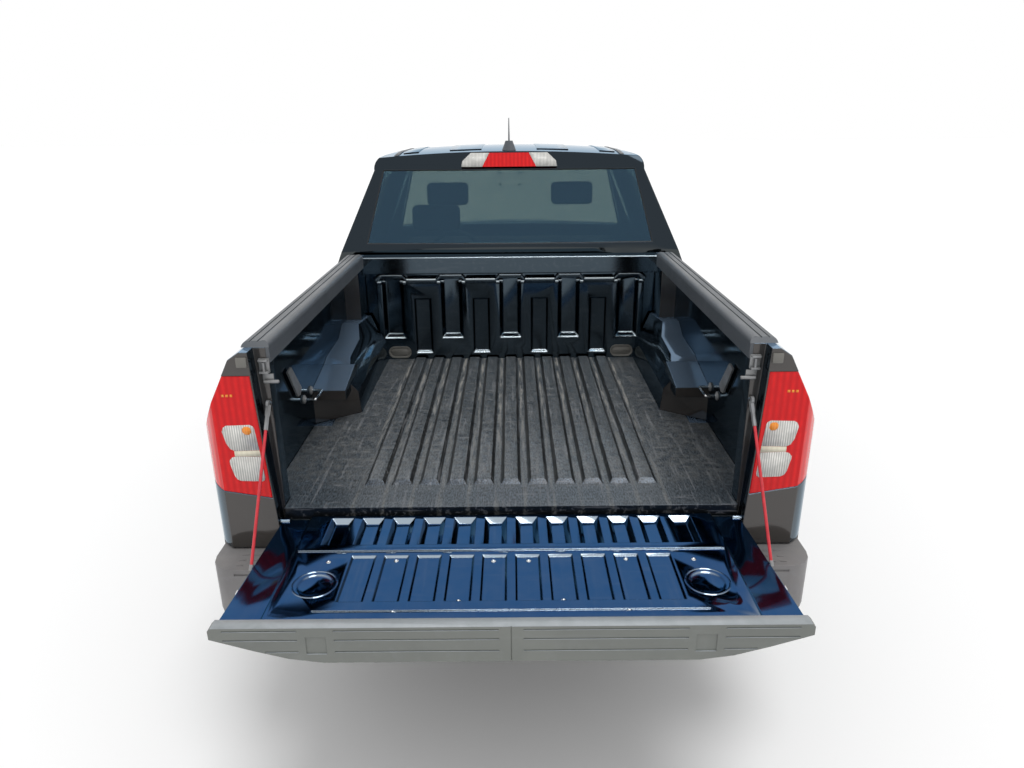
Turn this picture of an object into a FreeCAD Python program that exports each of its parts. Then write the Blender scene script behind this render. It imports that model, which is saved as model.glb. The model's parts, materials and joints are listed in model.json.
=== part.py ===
import FreeCAD, Part
import math
import os
import re
from types import SimpleNamespace
import Sketcher
from FreeCAD import Placement, Rotation, Vector

# Pickup truck, crew cab, with its cargo box and its tailgate let down.
# Frame: +Z up, ground at z = 0, the truck faces -Y, its left side is +X, and the
# centre plane is x = 0. All lengths are in millimetres, all angles in degrees.

doc = FreeCAD.newDocument("pickup_truck")
sheet = doc.addObject("Spreadsheet::Sheet", "Sizes")
layout = doc.addObject("Spreadsheet::Sheet", "Layout")

# Driving sizes, grouped by what they set
SIZES = {
    # whole truck
    "length_closed": 5354,
    "wheelbase": 3226,
    "body_width": 1862,
    "roof_height": 1830,
    "track": 1560,
    "hinge_behind_axle": 1094,
    "bumper_reach": 130,
    "panel_gap": 6,
    "glass_thick": 5,
    "cut_over": 40,
    # tyres, rims and brakes
    "wheel_facets": 40,
    "ring_facets": 24,
    "ring_side_facets": 6,
    "mast_facets": 8,
    "dome_facets": 16,
    "tyre_radius": 384,
    "tyre_width": 255,
    "tyre_shoulder": 38,
    "tyre_bulge": 9,
    "rim_radius": 240,
    "rim_width": 216,
    "rim_lip": 16,
    "rim_wall": 12,
    "rim_dish": 40,
    "hub_radius": 62,
    "hub_bore": 36,
    "spoke_thick": 34,
    "spoke_gap_radius": 172,
    "disc_radius": 168,
    "disc_thick": 26,
    "disc_hat": 10,
    "spoke_count": 6,
    "spoke_window_inner": 44,
    "spoke_window_outer": 118,
    # cab outline
    "cab_length": 2040,
    "cab_gap": 22,
    "cowl_level": 1205,
    "windshield_run": 660,
    "header_level": 1776,
    "roof_peak_ahead": 810,
    "rear_glass_run": 242,
    "rear_header_level": 1815,
    "rear_belt_level": 1380,
    "roof_crown": 56,
    "windshield_sweep": 130,
    "back_sweep": 26,
    "sill_level": 470,
    "cab_floor_level": 600,
    "cab_floor_thick": 40,
    "under_floor_half": 760,
    "roof_thick": 36,
    "back_thick": 60,
    "firewall_thick": 50,
    "glass_frame_thick": 42,
    "door_thick": 96,
    # body side section
    "rocker_level": 440,
    "rocker_half": 858,
    "sill_half": 902,
    "sill_edge_level": 520,
    "wide_level": 900,
    "belt_half": 902,
    "belt_level": 1160,
    "shoulder_half": 868,
    "shoulder_level": 1252,
    "rail_half": 672,
    "rail_level": 1728,
    "rail_top_half": 620,
    "rail_top_level": 1800,
    # doors and side glass
    "door_front_behind_cowl": 140,
    "front_door_length": 1000,
    "rear_door_length": 750,
    "rear_post_rake": 150,
    "door_sill_level": 500,
    "door_head_drop": 62,
    "door_lean": 0.3,
    "window_base_level": 1272,
    "window_head_drop": 58,
    "window_post": 52,
    "post_width": 62,
    "pillar_half": 70,
    "pillar_thick": 45,
    "hinge_outset": 3,
    "lug_half": 16,
    "hood_lug_at": 560,
    "glass_inset": 5,
    # windshield and rear window
    "windshield_base_half": 790,
    "windshield_head_half": 610,
    "windshield_base_level": 1242,
    "windshield_head_level": 1728,
    "rear_glass_base_half": 699,
    "rear_glass_head_half": 626,
    "rear_glass_base_level": 1394,
    "rear_glass_head_level": 1730,
    # front end
    "hood_rear_level": 1196,
    "hood_mid_level": 1168,
    "hood_front_level": 1050,
    "hood_front_setback": 120,
    "grille_top_setback": 46,
    "grille_top_level": 1000,
    "nose_level": 640,
    "chin_level": 420,
    "chin_setback": 60,
    "nose_sweep": 190,
    "hood_crown": 56,
    "hood_thick": 30,
    "hood_rear_half": 770,
    "hood_front_half": 660,
    "hood_nose_clear": 60,
    "fender_thick": 40,
    "fender_top_half": 838,
    "fender_top_level": 1140,
    "fender_crest_level": 1105,
    "arch_radius": 458,
    "bumper_top_level": 700,
    "lamp_inner_half": 560,
    "lamp_low_level": 800,
    "lamp_top_level": 985,
    "lamp_depth": 90,
    "lamp_reach": 260,
    "grille_low_level": 720,
    "grille_bar_count": 5,
    "grille_bar_thick": 22,
    "grille_depth": 60,
    "grille_frame": 42,
    # cargo box
    "box_length": 1520,
    "bulkhead_thick": 40,
    "box_floor_level": 835,
    "box_floor_thick": 4,
    "floor_half": 705,
    "floor_rear_setback": 22,
    "rib_count": 11,
    "rib_pitch": 89.5,
    "rib_width": 67,
    "rib_top_width": 45,
    "rib_end_slope": 17,
    "rib_rise": 14,
    "rib_rear_setback": 165,
    "rib_front_setback": 20,
    "box_inner_half": 705,
    "recess_half": 775,
    "recess_rear_setback": 90,
    "recess_front_setback": 140,
    "recess_top_level": 1300,
    "corner_start": 125,
    "corner_half": 866,
    "corner_mid_ahead": 55,
    "corner_mid_inset": 17,
    "box_rail_level": 1352,
    "box_side_low_level": 560,
    "box_low_half": 880,
    "box_edge_level": 620,
    "box_edge_half": 906,
    "box_crest_level": 1120,
    "box_crest_half": 908,
    "box_shoulder_half": 800,
    "box_shoulder_level": 1330,
    "wheelhouse_half": 612,
    "wheelhouse_foot_half": 620,
    "wheelhouse_foot_level": 930,
    "wheelhouse_waist_half": 655,
    "wheelhouse_waist_level": 985,
    "wheelhouse_level": 1090,
    "wheelhouse_crest_half": 700,
    "wheelhouse_reach": 490,
    "wheelhouse_skin": 5,
    "house_rear_reach": 404,
    "house_rear_level": 975,
    "house_slant_reach": 284,
    "house_outer_reach": 423,
    "house_step_reach": 144,
    "house_step_level": 1030,
    "house_mid_reach": 86,
    "house_mid_level": 1040,
    "house_high_reach": 176,
    "house_high_level": 1085,
    "house_front_level": 1062,
    "house_pad_inner_half": 645,
    "house_pad_outer_half": 775,
    "house_pad_front_reach": 194,
    "house_pad_front_level": 1014,
    "cap_half": 776,
    "cap_width": 72,
    "cap_thick": 16,
    "cap_skirt": 46,
    "cap_skirt_thick": 9,
    "cap_groove_width": 5,
    "cap_groove_deep": 3,
    "cap_groove_margin": 22,
    "cap_end_slope": 14,
    "bulkhead_level": 1318,
    "bulkhead_header": 46,
    "bulkhead_drop": 30,
    "sill_flange": 40,
    "sill_flange_thick": 4,
    "bulkhead_plate": 14,
    "field_half": 650,
    "field_top_level": 1224,
    "ridge_thick": 14,
    "ridge_proud": 10,
    "ridge_rise": 18,
    "ridge_slope": 20,
    "ridge_lap": 4,
    "channel_count": 5,
    "channel_pitch": 286,
    "channel_width": 104,
    "channel_low_level": 944,
    "channel_lean": 32,
    "panel_count": 4,
    "panel_width": 82,
    "panel_low_level": 867,
    "panel_top_level": 1144,
    "panel_deep": 12,
    # tail lamps and posts
    "lamp_rear_low_level": 889,
    "lamp_rear_tilt": 44,
    "lamp_rear_top_level": 1282,
    "lamp_wall": 4,
    "jamb_half": 714,
    "jamb_head_half": 741,
    "jamb_head_level": 1330,
    "lamp_rear_wrap": 150,
    "lamp_rear_depth": 70,
    "post_behind_hinge": 14,
    # tailgate
    "tailgate_height": 530,
    "tailgate_near_half": 706,
    "tailgate_far_half": 728,
    "tailgate_top_level": 812,
    "tailgate_low_level": 714,
    "tailgate_start": 8,
    "tailgate_flange_half": 615,
    "tailgate_flange_level": 800,
    "tailgate_flange_slope": 10,
    "tailgate_belly_half": 460,
    "tailgate_bend_half": 544,
    "tailgate_bend_level": 726,
    "tailgate_lean_half": 631,
    "tailgate_lean_level": 751,
    "tailgate_edge_level": 785,
    "tailgate_lip_level": 757,
    "tailgate_knee_level": 730,
    "tailgate_knee_behind": 140,
    "tailgate_belly_behind": 200,
    "tailgate_cap_depth": 34,
    "tailgate_cap_level": 817,
    "tailgate_cap_half": 735,
    "cap_edge_slope": 8,
    "cap_line_width": 4,
    "cap_line_deep": 2.5,
    "cap_line_level": 808,
    "cap_mid_line_level": 781,
    "cap_low_line_level": 747,
    "cap_line_inner_half": 30,
    "cap_line_outer_half": 430,
    "cap_end_line_half": 520,
    "cap_end_line_reach": 700,
    "cap_low_line_reach": 600,
    "cap_socket_half": 475,
    "cap_socket_width": 50,
    "cap_socket_level": 740,
    "cap_socket_deep": 3,
    "cap_seam": 2,
    "hinge_ahead": 2,
    "hinge_level": 800,
    "hinge_pin_radius": 8,
    "hinge_pin_reach": 22,
    "recess_row_start": 4,
    "recess_row_depth": 151,
    "recess_count": 12,
    "recess_pitch": 94,
    "recess_width": 68,
    "recess_deep": 14,
    "recess_lean": 48,
    "bar_behind": 180,
    "bar_width": 12,
    "bar_rise": 5,
    "bar_half": 606,
    "pad_row_start": 211,
    "pad_row_depth": 210,
    "pad_count": 10,
    "pad_pitch": 92,
    "pad_width": 70,
    "pad_deep": 6,
    "pad_lean": 45,
    "dish_half": 520,
    "dish_behind": 345,
    "dish_radius": 50,
    "dish_floor_radius": 40,
    "dish_deep": 6,
    "groove_behind": 457,
    "groove_width": 8,
    "groove_deep": 4,
    "groove_half": 500,
    "cable_radius": 4.5,
    "cable_upper_half": 714,
    "cable_upper_level": 1176,
    "cable_upper_ahead": 27,
    "post_ahead": 36,
    "cable_lower_half": 725,
    "cable_lower_behind": 246,
    "cable_lower_level": 789,
    "cable_lug_radius": 9,
    "cable_lug_root": 12,
    # rear bumper
    "rear_bumper_top_level": 712,
    "rear_bumper_drop": 165,
    "rear_bumper_half": 905,
    "rear_bumper_depth": 170,
    "rear_bumper_corner": 78,
    "rear_bumper_turns": 4,
    "plate_recess_half": 168,
    "plate_recess_height": 112,
    "plate_recess_drop": 24,
    "plate_recess_deep": 12,
    "bumper_groove_drop": 14,
    "bumper_groove_width": 6,
    "bumper_groove_deep": 4,
    "rear_bumper_shell": 70,
    "receiver_half": 36,
    "receiver_bore_half": 25.4,
    "receiver_length": 190,
    "receiver_level": 505,
    # frame
    "rail_width": 70,
    "rail_depth": 130,
    "rail_centre": 385,
    "frame_front_clear": 190,
    "mount_radius": 34,
    "box_sill_width": 90,
    "box_sill_count": 4,
    "spare_behind_axle": 540,
    "frame_front_level": 500,
    "frame_mid_level": 430,
    "frame_rear_level": 640,
    "kick_run": 260,
    "cross_thick": 32,
    "cross_width": 80,
    # driveline and suspension
    "axle_tube_radius": 42,
    "axle_housing_radius": 125,
    "axle_nose_share": 1.7,
    "axle_housing_half": 76,
    "spring_length": 1300,
    "spring_width": 64,
    "spring_thick": 34,
    "spring_centre": 462,
    "propshaft_radius": 38,
    "engine_length": 640,
    "engine_width": 520,
    "engine_depth": 560,
    "engine_ahead": 30,
    "engine_level": 510,
    "gearbox_length": 270,
    "gearbox_radius": 100,
    "gearbox_drop": 55,
    "tank_length": 900,
    "tank_width": 330,
    "tank_depth": 180,
    "tank_ahead": 820,
    "exhaust_radius": 30,
    "muffler_radius": 85,
    "muffler_length": 520,
    "muffler_ahead": 210,
    "arm_thick": 32,
    "arm_root_half": 115,
    "arm_tip_half": 38,
    "knuckle_half": 22,
    "knuckle_depth_half": 46,
    "lower_arm_drop": 85,
    "upper_arm_rise": 130,
    "kingpin_inset": 60,
    "steer_arm_length": 150,
    "steer_arm_thick": 26,
    "seat_clearance": 0.3,
    "bearing_clearance": 0.5,
    "flange_radius": 70,
    "flange_thick": 14,
    "rack_radius": 22,
    "rack_behind": 175,
    "rack_half": 330,
    "spare_radius": 372,
    "spare_width": 200,
    "spare_level": 360,
    # cab inside
    "seat_centre": 370,
    "seat_width": 500,
    "seat_level": 870,
    "seat_base_level": 620,
    "seat_length": 500,
    "seat_back_thick": 130,
    "seat_back_height": 620,
    "seat_lean": 170,
    "seat_front_ahead": 430,
    "rear_seat_ahead": 600,
    "rear_seat_lean": 70,
    "rear_back_height": 540,
    "head_rest_width": 250,
    "head_rest_height": 150,
    "head_rest_thick": 80,
    "dash_depth": 430,
    "dash_level": 1180,
    "dash_low_level": 880,
    "dash_half": 720,
    "console_half": 105,
    "console_level": 900,
    "wheel_ring_radius": 178,
    "wheel_ring_thick": 15,
    "wheel_tilt": 25,
    "wheel_hub_back": 24,
    "wheel_level": 1080,
    "wheel_behind_cowl": 640,
    "column_radius": 28,
    "column_length": 240,
    # mirrors, antenna, top lamp
    "mirror_width": 128,
    "mirror_height": 210,
    "mirror_depth": 110,
    "mirror_half": 1030,
    "mirror_level": 1300,
    "mirror_behind": 120,
    "mirror_arm": 34,
    "antenna_tip_level": 1970,
    "antenna_dome_level": 1863,
    "antenna_radius": 4,
    "antenna_base_radius": 36,
    "antenna_ahead": 1870,
    "top_lamp_half": 236,
    "top_lamp_taper": 11,
    "top_lamp_above_glass": 14,
    "top_lamp_height": 64,
    "top_lamp_depth": 12,
}

# Places worked out from the sizes above
LAYOUT = {
    "half_width": "body_width / 2",
    "half_reach": "(length_closed - bumper_reach + tailgate_height) / 2",
    "hinge_line": "half_reach - tailgate_height",
    "rear_axle": "hinge_line - hinge_behind_axle",
    "front_axle": "rear_axle - wheelbase",
    "nose": "-half_reach",
    "bulkhead_face": "hinge_line - box_length",
    "box_front": "bulkhead_face - bulkhead_thick",
    "cab_back": "box_front - cab_gap",
    "cowl": "cab_back - cab_length",
    "door_front": "cowl + door_front_behind_cowl",
    "door_middle": "door_front + front_door_length",
    "door_rear": "door_middle + rear_door_length",
    "door_head_level": "rail_top_level - door_head_drop",
    "window_head_level": "door_head_level - window_head_drop",
    "hinge_outer": "half_width + hinge_outset",
    "floor_rear": "hinge_line - floor_rear_setback",
    "tailgate_near": "hinge_line - tailgate_start",
    "tailgate_far": "half_reach - tailgate_cap_depth",
    "tailgate_hinge": "hinge_line - hinge_ahead",
    "rear_bumper_back": "hinge_line + bumper_reach",
}


def bind(text):
    """The same formula with each size's name led by the sheet that holds it."""
    def full_name(match):
        word = match.group(0)
        if word in LAYOUT:
            return "Layout." + word
        return "Sizes." + word if word in SIZES else word
    return re.sub(r"[a-z_]+", full_name, text)


def fill_sheets():
    for row, (name, size) in enumerate(SIZES.items(), start=1):
        sheet.set(f"A{row}", name)
        sheet.set(f"B{row}", str(size))
        sheet.setAlias(f"B{row}", name)
    doc.recompute()
    for row, (name, formula) in enumerate(LAYOUT.items(), start=1):
        layout.set(f"A{row}", name)
        layout.set(f"B{row}", "=" + bind(formula).replace("Layout.", ""))
        layout.setAlias(f"B{row}", name)
    doc.recompute()


fill_sheets()
s = SimpleNamespace(**{name: float(sheet.get(name)) for name in SIZES})
for name in LAYOUT:
    setattr(s, name, float(layout.get(name)))

nodes = []


def keep(label, shape, place=None):
    """A sub-part whose form neither a sketch nor a primitive fits."""
    piece = doc.addObject("Part::Feature", label)
    piece.Label = label
    piece.Shape = shape
    if place:
        piece.Placement = place
    nodes.append(piece)
    return piece


def s_count(name):
    return int(round(getattr(s, name)))


def solid_of(faces):
    """A closed solid from flat faces, each a list of corners."""
    flats = [Part.Face(Part.makePolygon([*corners, corners[0]])) for corners in faces]
    shell = Part.makeShell(flats)
    shell.sewShape()
    solid = Part.Solid(shell)
    if solid.Volume < 0:
        solid.reverse()
    return solid


def faceted_turn(outline, facets, centre, axis, first):
    """An outline of (along, radius) pairs turned about an axis in flat facets."""
    second = axis.cross(first)
    swell = 1 / math.cos(math.pi / facets)
    rings = []
    for turn in range(facets):
        angle = math.pi * (2 * turn + 1) / facets
        outward = (first * math.cos(angle) + second * math.sin(angle)) * swell
        rings.append([centre + axis * along + outward * radius for along, radius in outline])
    faces = []
    for here, there in zip(rings, rings[1:] + rings[:1]):
        for start in range(len(outline)):
            corners = [here[start - 1], here[start], there[start], there[start - 1]]
            apart = [corner for turn, corner in enumerate(corners)
                     if (corner - corners[turn - 1]).Length > 0]
            if len(apart) > 2:
                faces.append(apart)
    return solid_of(faces)


def rod(start, end, radius, facets, end_radius=None):
    """A straight bar with flat sides, thinner at its end where a second radius is given."""
    run = end - start
    axis = Vector(run).normalize()
    first = Vector(1, 0, 0) if abs(axis.x) < abs(axis.z) else Vector(0, 0, 1)
    first = (first - axis * first.dot(axis)).normalize()
    last = radius if end_radius is None else end_radius
    return faceted_turn([(0, 0), (0, radius), (run.Length, last), (run.Length, 0)],
                        facets, start, axis, first)


def mirrored(shape):
    return shape.mirror(Vector(0, 0, 0), Vector(1, 0, 0))


def side_plane(x):
    return lambda y, z: Vector(x, y, z)


def front_plane(y):
    return lambda x, z: Vector(x, y, z)


def level_plane(z):
    return lambda x, y: Vector(x, y, z)


def wire(plane, start, *steps):
    """A closed wire. A step is an end point, or the middle and end point of an arc."""
    edges = []
    here = plane(*start)
    for step in steps + (start,):
        if isinstance(step[0], tuple):
            middle, end = plane(*step[0]), plane(*step[1])
            edges.append(Part.Arc(here, middle, end).toShape())
            here = end
        else:
            end = plane(*step)
            edges.append(Part.LineSegment(here, end).toShape())
            here = end
    return Part.Wire(edges)


def extruded(outline, direction):
    return Part.Face(outline).extrude(direction)


def block(low, high):
    size = Vector(*high) - Vector(*low)
    return Part.makeBox(size.x, size.y, size.z, Vector(*low))


def across(y_low, y_high, z_low, z_high, half):
    """A block the same distance each side of the centre plane."""
    return block((-half, y_low, z_low), (half, y_high, z_high))


def along_y(half_outline, y_low, y_high):
    """Both halves of a section, drawn for x > 0, run from y_low to y_high."""
    plane = front_plane(y_low)
    half = extruded(wire(plane, *half_outline), Vector(0, y_high - y_low, 0))
    return half.fuse(mirrored(half)).removeSplitter()


def tube_between(start, end, radius):
    run = end - start
    return Part.makeCylinder(radius, run.Length, start, run)


# Cab: one hollow form, cut into the shell, four doors and the glass

def cab_profile(x, inset=(0, 0, 0, 0, 0)):
    """The cab's outline seen from the side, at a distance x from the centre plane."""
    back, front, roof, low, glass = inset
    bend = (x / s.half_width) ** 2
    sweep = s.windshield_sweep * bend
    tuck = s.back_sweep * bend
    drop = s.roof_crown * bend
    cab_back = s.cab_back - back - tuck
    cowl = s.cowl + front
    head = s.cowl + s.windshield_run + glass
    rear_head = s.cab_back - s.rear_glass_run - glass - tuck
    return wire(
        side_plane(x),
        (cab_back, s.sill_level + low),
        (cab_back, s.rear_belt_level - drop / 2),
        (rear_head, s.rear_header_level - roof - drop),
        ((s.cab_back - s.roof_peak_ahead, s.roof_height - roof - drop),
         (head + sweep * 0.8, s.header_level - roof - drop)),
        (cowl + glass + sweep, s.cowl_level - roof / 2 - drop / 2),
        (cowl, s.sill_level + low),
    )


def crowned(profile, half, *inset):
    """A solid through one profile at each side and at the centre, bowed between them."""
    wires = [profile(x, *inset) for x in (-half, -half / 2, 0, half / 2, half)]
    return Part.makeLoft(wires, True, False)


def side_section(level_top, inset_low=0, inset_high=0, drop=0):
    """Half of the body's section: sill, bulging side, shoulder and leaning upper side."""
    return (
        (0, s.rocker_level),
        (s.rocker_half - inset_low, s.rocker_level),
        (s.sill_half - inset_low, s.sill_edge_level),
        ((s.half_width - inset_low, s.wide_level), (s.belt_half - inset_low, s.belt_level)),
        (s.shoulder_half - inset_high, s.shoulder_level),
        (s.rail_half - inset_high, s.rail_level - drop),
        ((s.rail_half - inset_high - (s.rail_half - s.rail_top_half) * 0.2,
          s.rail_top_level - drop - (s.rail_top_level - s.rail_level) * 0.35),
         (s.rail_top_half - inset_high, s.rail_top_level - drop)),
        (0, level_top),
    )


cab_reach = s.half_width + s.cut_over
cab_form = crowned(cab_profile, cab_reach).common(
    along_y(side_section(s.roof_height + s.cut_over), s.cowl - s.cut_over, s.cab_back + s.cut_over))
inner_insets = (s.back_thick, s.firewall_thick, s.roof_thick,
                s.cab_floor_level - s.sill_level, s.glass_frame_thick)
cab_room = crowned(cab_profile, cab_reach, inner_insets).common(
    along_y(side_section(s.roof_height, s.door_thick, s.glass_frame_thick, s.roof_thick / 2),
            s.cowl, s.cab_back))
side_core = along_y(
    side_section(s.roof_height + s.cut_over, s.door_thick, s.glass_frame_thick, s.roof_thick / 2),
    s.cowl - s.cut_over, s.cab_back + s.cut_over)


def post_line(level, behind):
    """Where a line lies that follows the windshield post, some way behind the glass."""
    rise_share = (level - s.cowl_level) / (s.header_level - s.cowl_level)
    edge_half = s.shoulder_half + (s.rail_half - s.shoulder_half) * rise_share
    sweep = s.windshield_sweep * (edge_half / s.half_width) ** 2
    return s.cowl + s.windshield_run * rise_share + sweep + behind


def fore_edge(front, head, base, behind, gap):
    """The front edge of a door or window, from its head down to its straight part."""
    if front != s.door_front:
        return [(front + behind + gap, head)]
    return [(post_line(head, s.post_width + behind + gap), head),
            (post_line(base, s.post_width + behind + gap), base)]


def rear_rake(rear):
    """How far forward the rear door's back edge leans at its head."""
    return s.rear_post_rake if rear == s.door_rear else 0


def door_outline(front, rear, lean=False, gap=0):
    """A door seen from the side. The front door's upper edge follows the windshield post."""
    head = s.door_head_level - gap
    low_front, low_rear = front + gap, rear - gap
    top_rear = low_rear - rear_rake(rear)
    tall = [(low_rear, s.shoulder_level), (top_rear, head)]
    if lean:
        tall = [(low_rear + s.door_lean * (s.half_width - s.shoulder_half), s.shoulder_level),
                (top_rear + s.door_lean * (s.half_width - s.rail_half), head)]
        low_rear += s.door_lean * (s.half_width - s.sill_half)
    fore = fore_edge(front, head, s.shoulder_level, 0, gap)
    if front == s.door_front:
        fore.append((low_front, s.belt_level))
    return [(low_front, s.door_sill_level + gap), (low_rear, s.door_sill_level + gap), *tall, *fore]


def door_prism(front, rear, gap):
    straight = extruded(wire(side_plane(0), *door_outline(front, rear, False, gap)),
                        Vector(cab_reach, 0, 0))
    if gap:
        leaning = extruded(wire(side_plane(s.half_width), *door_outline(front, rear, True, gap)),
                           Vector(-s.half_width, -s.half_width * s.door_lean, 0))
        straight = straight.common(leaning)
    return straight.cut(side_core)


def window_prism(front, rear):
    base, head = s.window_base_level, s.window_head_level
    fore = fore_edge(front, head, base, s.window_post, 0)
    low_front = fore.pop()[0] if front == s.door_front else front + s.window_post
    low_rear = rear - s.window_post
    outline = [(low_front, base), (low_rear, base), (low_rear - rear_rake(rear), head), *fore]
    return extruded(wire(side_plane(s.rail_top_half / 2), *outline), Vector(cab_reach, 0, 0))


def pane(prism, inward, outset=0):
    """A sheet of glass as thick as the glass, set in from the cab's surface."""
    shift = Vector(*inward)
    outer = cab_form.translated(shift * (s.glass_inset + outset))
    inner = cab_form.translated(shift * (s.glass_inset + outset + s.glass_thick))
    return outer.common(prism).cut(inner)


def front_glass_prism(base_half, head_half, base, head, y_low, y_high):
    plane = front_plane(y_low)
    outline = wire(plane, (-base_half, base), (base_half, base), (head_half, head), (-head_half, head))
    return extruded(outline, Vector(0, y_high - y_low, 0))


door_spans = {"front": (s.door_front, s.door_middle), "rear": (s.door_middle, s.door_rear)}
windshield_prism = front_glass_prism(
    s.windshield_base_half, s.windshield_head_half, s.windshield_base_level,
    s.windshield_head_level, s.cowl - s.cut_over, s.cowl + s.windshield_run + s.cut_over)
rear_glass_prism = front_glass_prism(
    s.rear_glass_base_half, s.rear_glass_head_half, s.rear_glass_base_level,
    s.rear_glass_head_level, s.cab_back - s.rear_glass_run - s.back_thick * 2,
    s.cab_back + s.cut_over)


def build_cab():
    shell = cab_form.cut([cab_room, nose_skin, across(
        s.cowl - s.cut_over, s.cab_back + s.cut_over, s.sill_level - s.cut_over,
        s.cab_floor_level - s.cab_floor_thick, s.under_floor_half)])
    pillar_zone = block((s.rail_top_half / 2, s.door_middle - s.pillar_half, s.cab_floor_level),
                        (s.half_width, s.door_middle + s.pillar_half, s.roof_height))
    pillar = cab_room.translated(Vector(-s.panel_gap, 0, 0)).cut(
        cab_room.translated(Vector(-s.panel_gap - s.pillar_thick, 0, 0))).common(pillar_zone)
    openings = door_prism(*door_spans["front"], 0).fuse(door_prism(*door_spans["rear"], 0))
    shell = shell.cut([openings, mirrored(openings), windshield_prism, rear_glass_prism])
    lug_inner = s.half_width - s.door_thick - s.panel_gap * 2
    lug_outer = s.half_width - s.door_thick - s.seat_clearance
    lug_top = s.wide_level - s.lug_half
    lugs = [block((lug_inner, along - s.lug_half, lug_top - s.lug_half * 2),
                  (lug_outer, along + s.lug_half, lug_top))
            for along in (s.door_middle - s.pillar_half / 2, s.door_middle + s.pillar_half / 2)]
    shell = shell.fuse([pillar, mirrored(pillar), *lugs, *map(mirrored, lugs)])
    keep("cab_shell", shell)
    rake = Vector(0, s.header_level - s.cowl_level, -s.windshield_run).normalize()
    keep("windshield", pane(windshield_prism, rake))
    lean = Vector(0, -(s.rear_header_level - s.rear_belt_level), -s.rear_glass_run).normalize()
    keep("rear_window", pane(rear_glass_prism, lean))


def build_doors():
    for span_name, (front, rear) in door_spans.items():
        glass_hole = window_prism(front, rear)
        door = cab_form.common(door_prism(front, rear, s.panel_gap / 2)).cut(glass_hole)
        glass = pane(glass_hole, (-1, 0, 0))
        keep(f"door_{span_name}_left", door)
        keep(f"door_{span_name}_right", mirrored(door))
        keep(f"door_glass_{span_name}_left", glass)
        keep(f"door_glass_{span_name}_right", mirrored(glass))


# Front end: hood, fenders, grille, head lamps and bumper, cut from one form

def nose_profile(x, inward=0, lower=0):
    """The front end seen from the side, at a distance x from the centre plane."""
    bend = (x / s.half_width) ** 2
    back = s.nose_sweep * bend + inward
    drop = s.hood_crown * bend + lower
    return wire(
        side_plane(x),
        (s.door_front - s.panel_gap, s.chin_level),
        (s.door_front - s.panel_gap, s.hood_rear_level - drop),
        ((s.front_axle, s.hood_mid_level - drop),
         (s.nose + s.hood_front_setback + back, s.hood_front_level - drop)),
        (s.nose + s.grille_top_setback + back, s.grille_top_level - lower),
        (s.nose + back, s.nose_level),
        (s.nose + s.chin_setback + back, s.chin_level),
    )


def nose_section(inward=0, lower=0):
    return (
        (0, s.rocker_level),
        (s.rocker_half - inward, s.rocker_level),
        (s.sill_half - inward, s.sill_edge_level),
        ((s.half_width - inward, s.wide_level), (s.belt_half - inward, s.fender_crest_level - lower)),
        ((s.fender_top_half + (s.belt_half - s.fender_top_half) * 0.6 - inward,
          s.fender_top_level - lower), (s.fender_top_half - inward, s.fender_top_level + 6 - lower)),
        (0, s.hood_rear_level + s.cut_over - lower),
    )


nose_form = crowned(nose_profile, cab_reach).common(
    along_y(nose_section(), s.nose - s.cut_over, s.door_front))
nose_room = crowned(nose_profile, cab_reach, s.fender_thick, s.fender_thick).common(
    along_y(nose_section(s.fender_thick, s.fender_thick), s.nose, s.door_front))
nose_skin = nose_form.cut(nose_room).common(
    across(s.cowl - s.cut_over, s.door_front, s.sill_level, s.roof_height, cab_reach))
arch_tube = Part.makeCylinder(s.arch_radius, s.body_width * 2, Vector(-s.body_width, 0, s.tyre_radius),
                              Vector(1, 0, 0))


def hood_outline(gap):
    rear, front = s.cowl - gap / 2, s.nose + s.hood_front_setback + s.hood_nose_clear
    rear_half, front_half = s.hood_rear_half - gap / 2, s.hood_front_half - gap / 2
    return wire(level_plane(s.nose_level), (-rear_half, rear), (rear_half, rear),
                (front_half, front), (-front_half, front))


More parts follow.
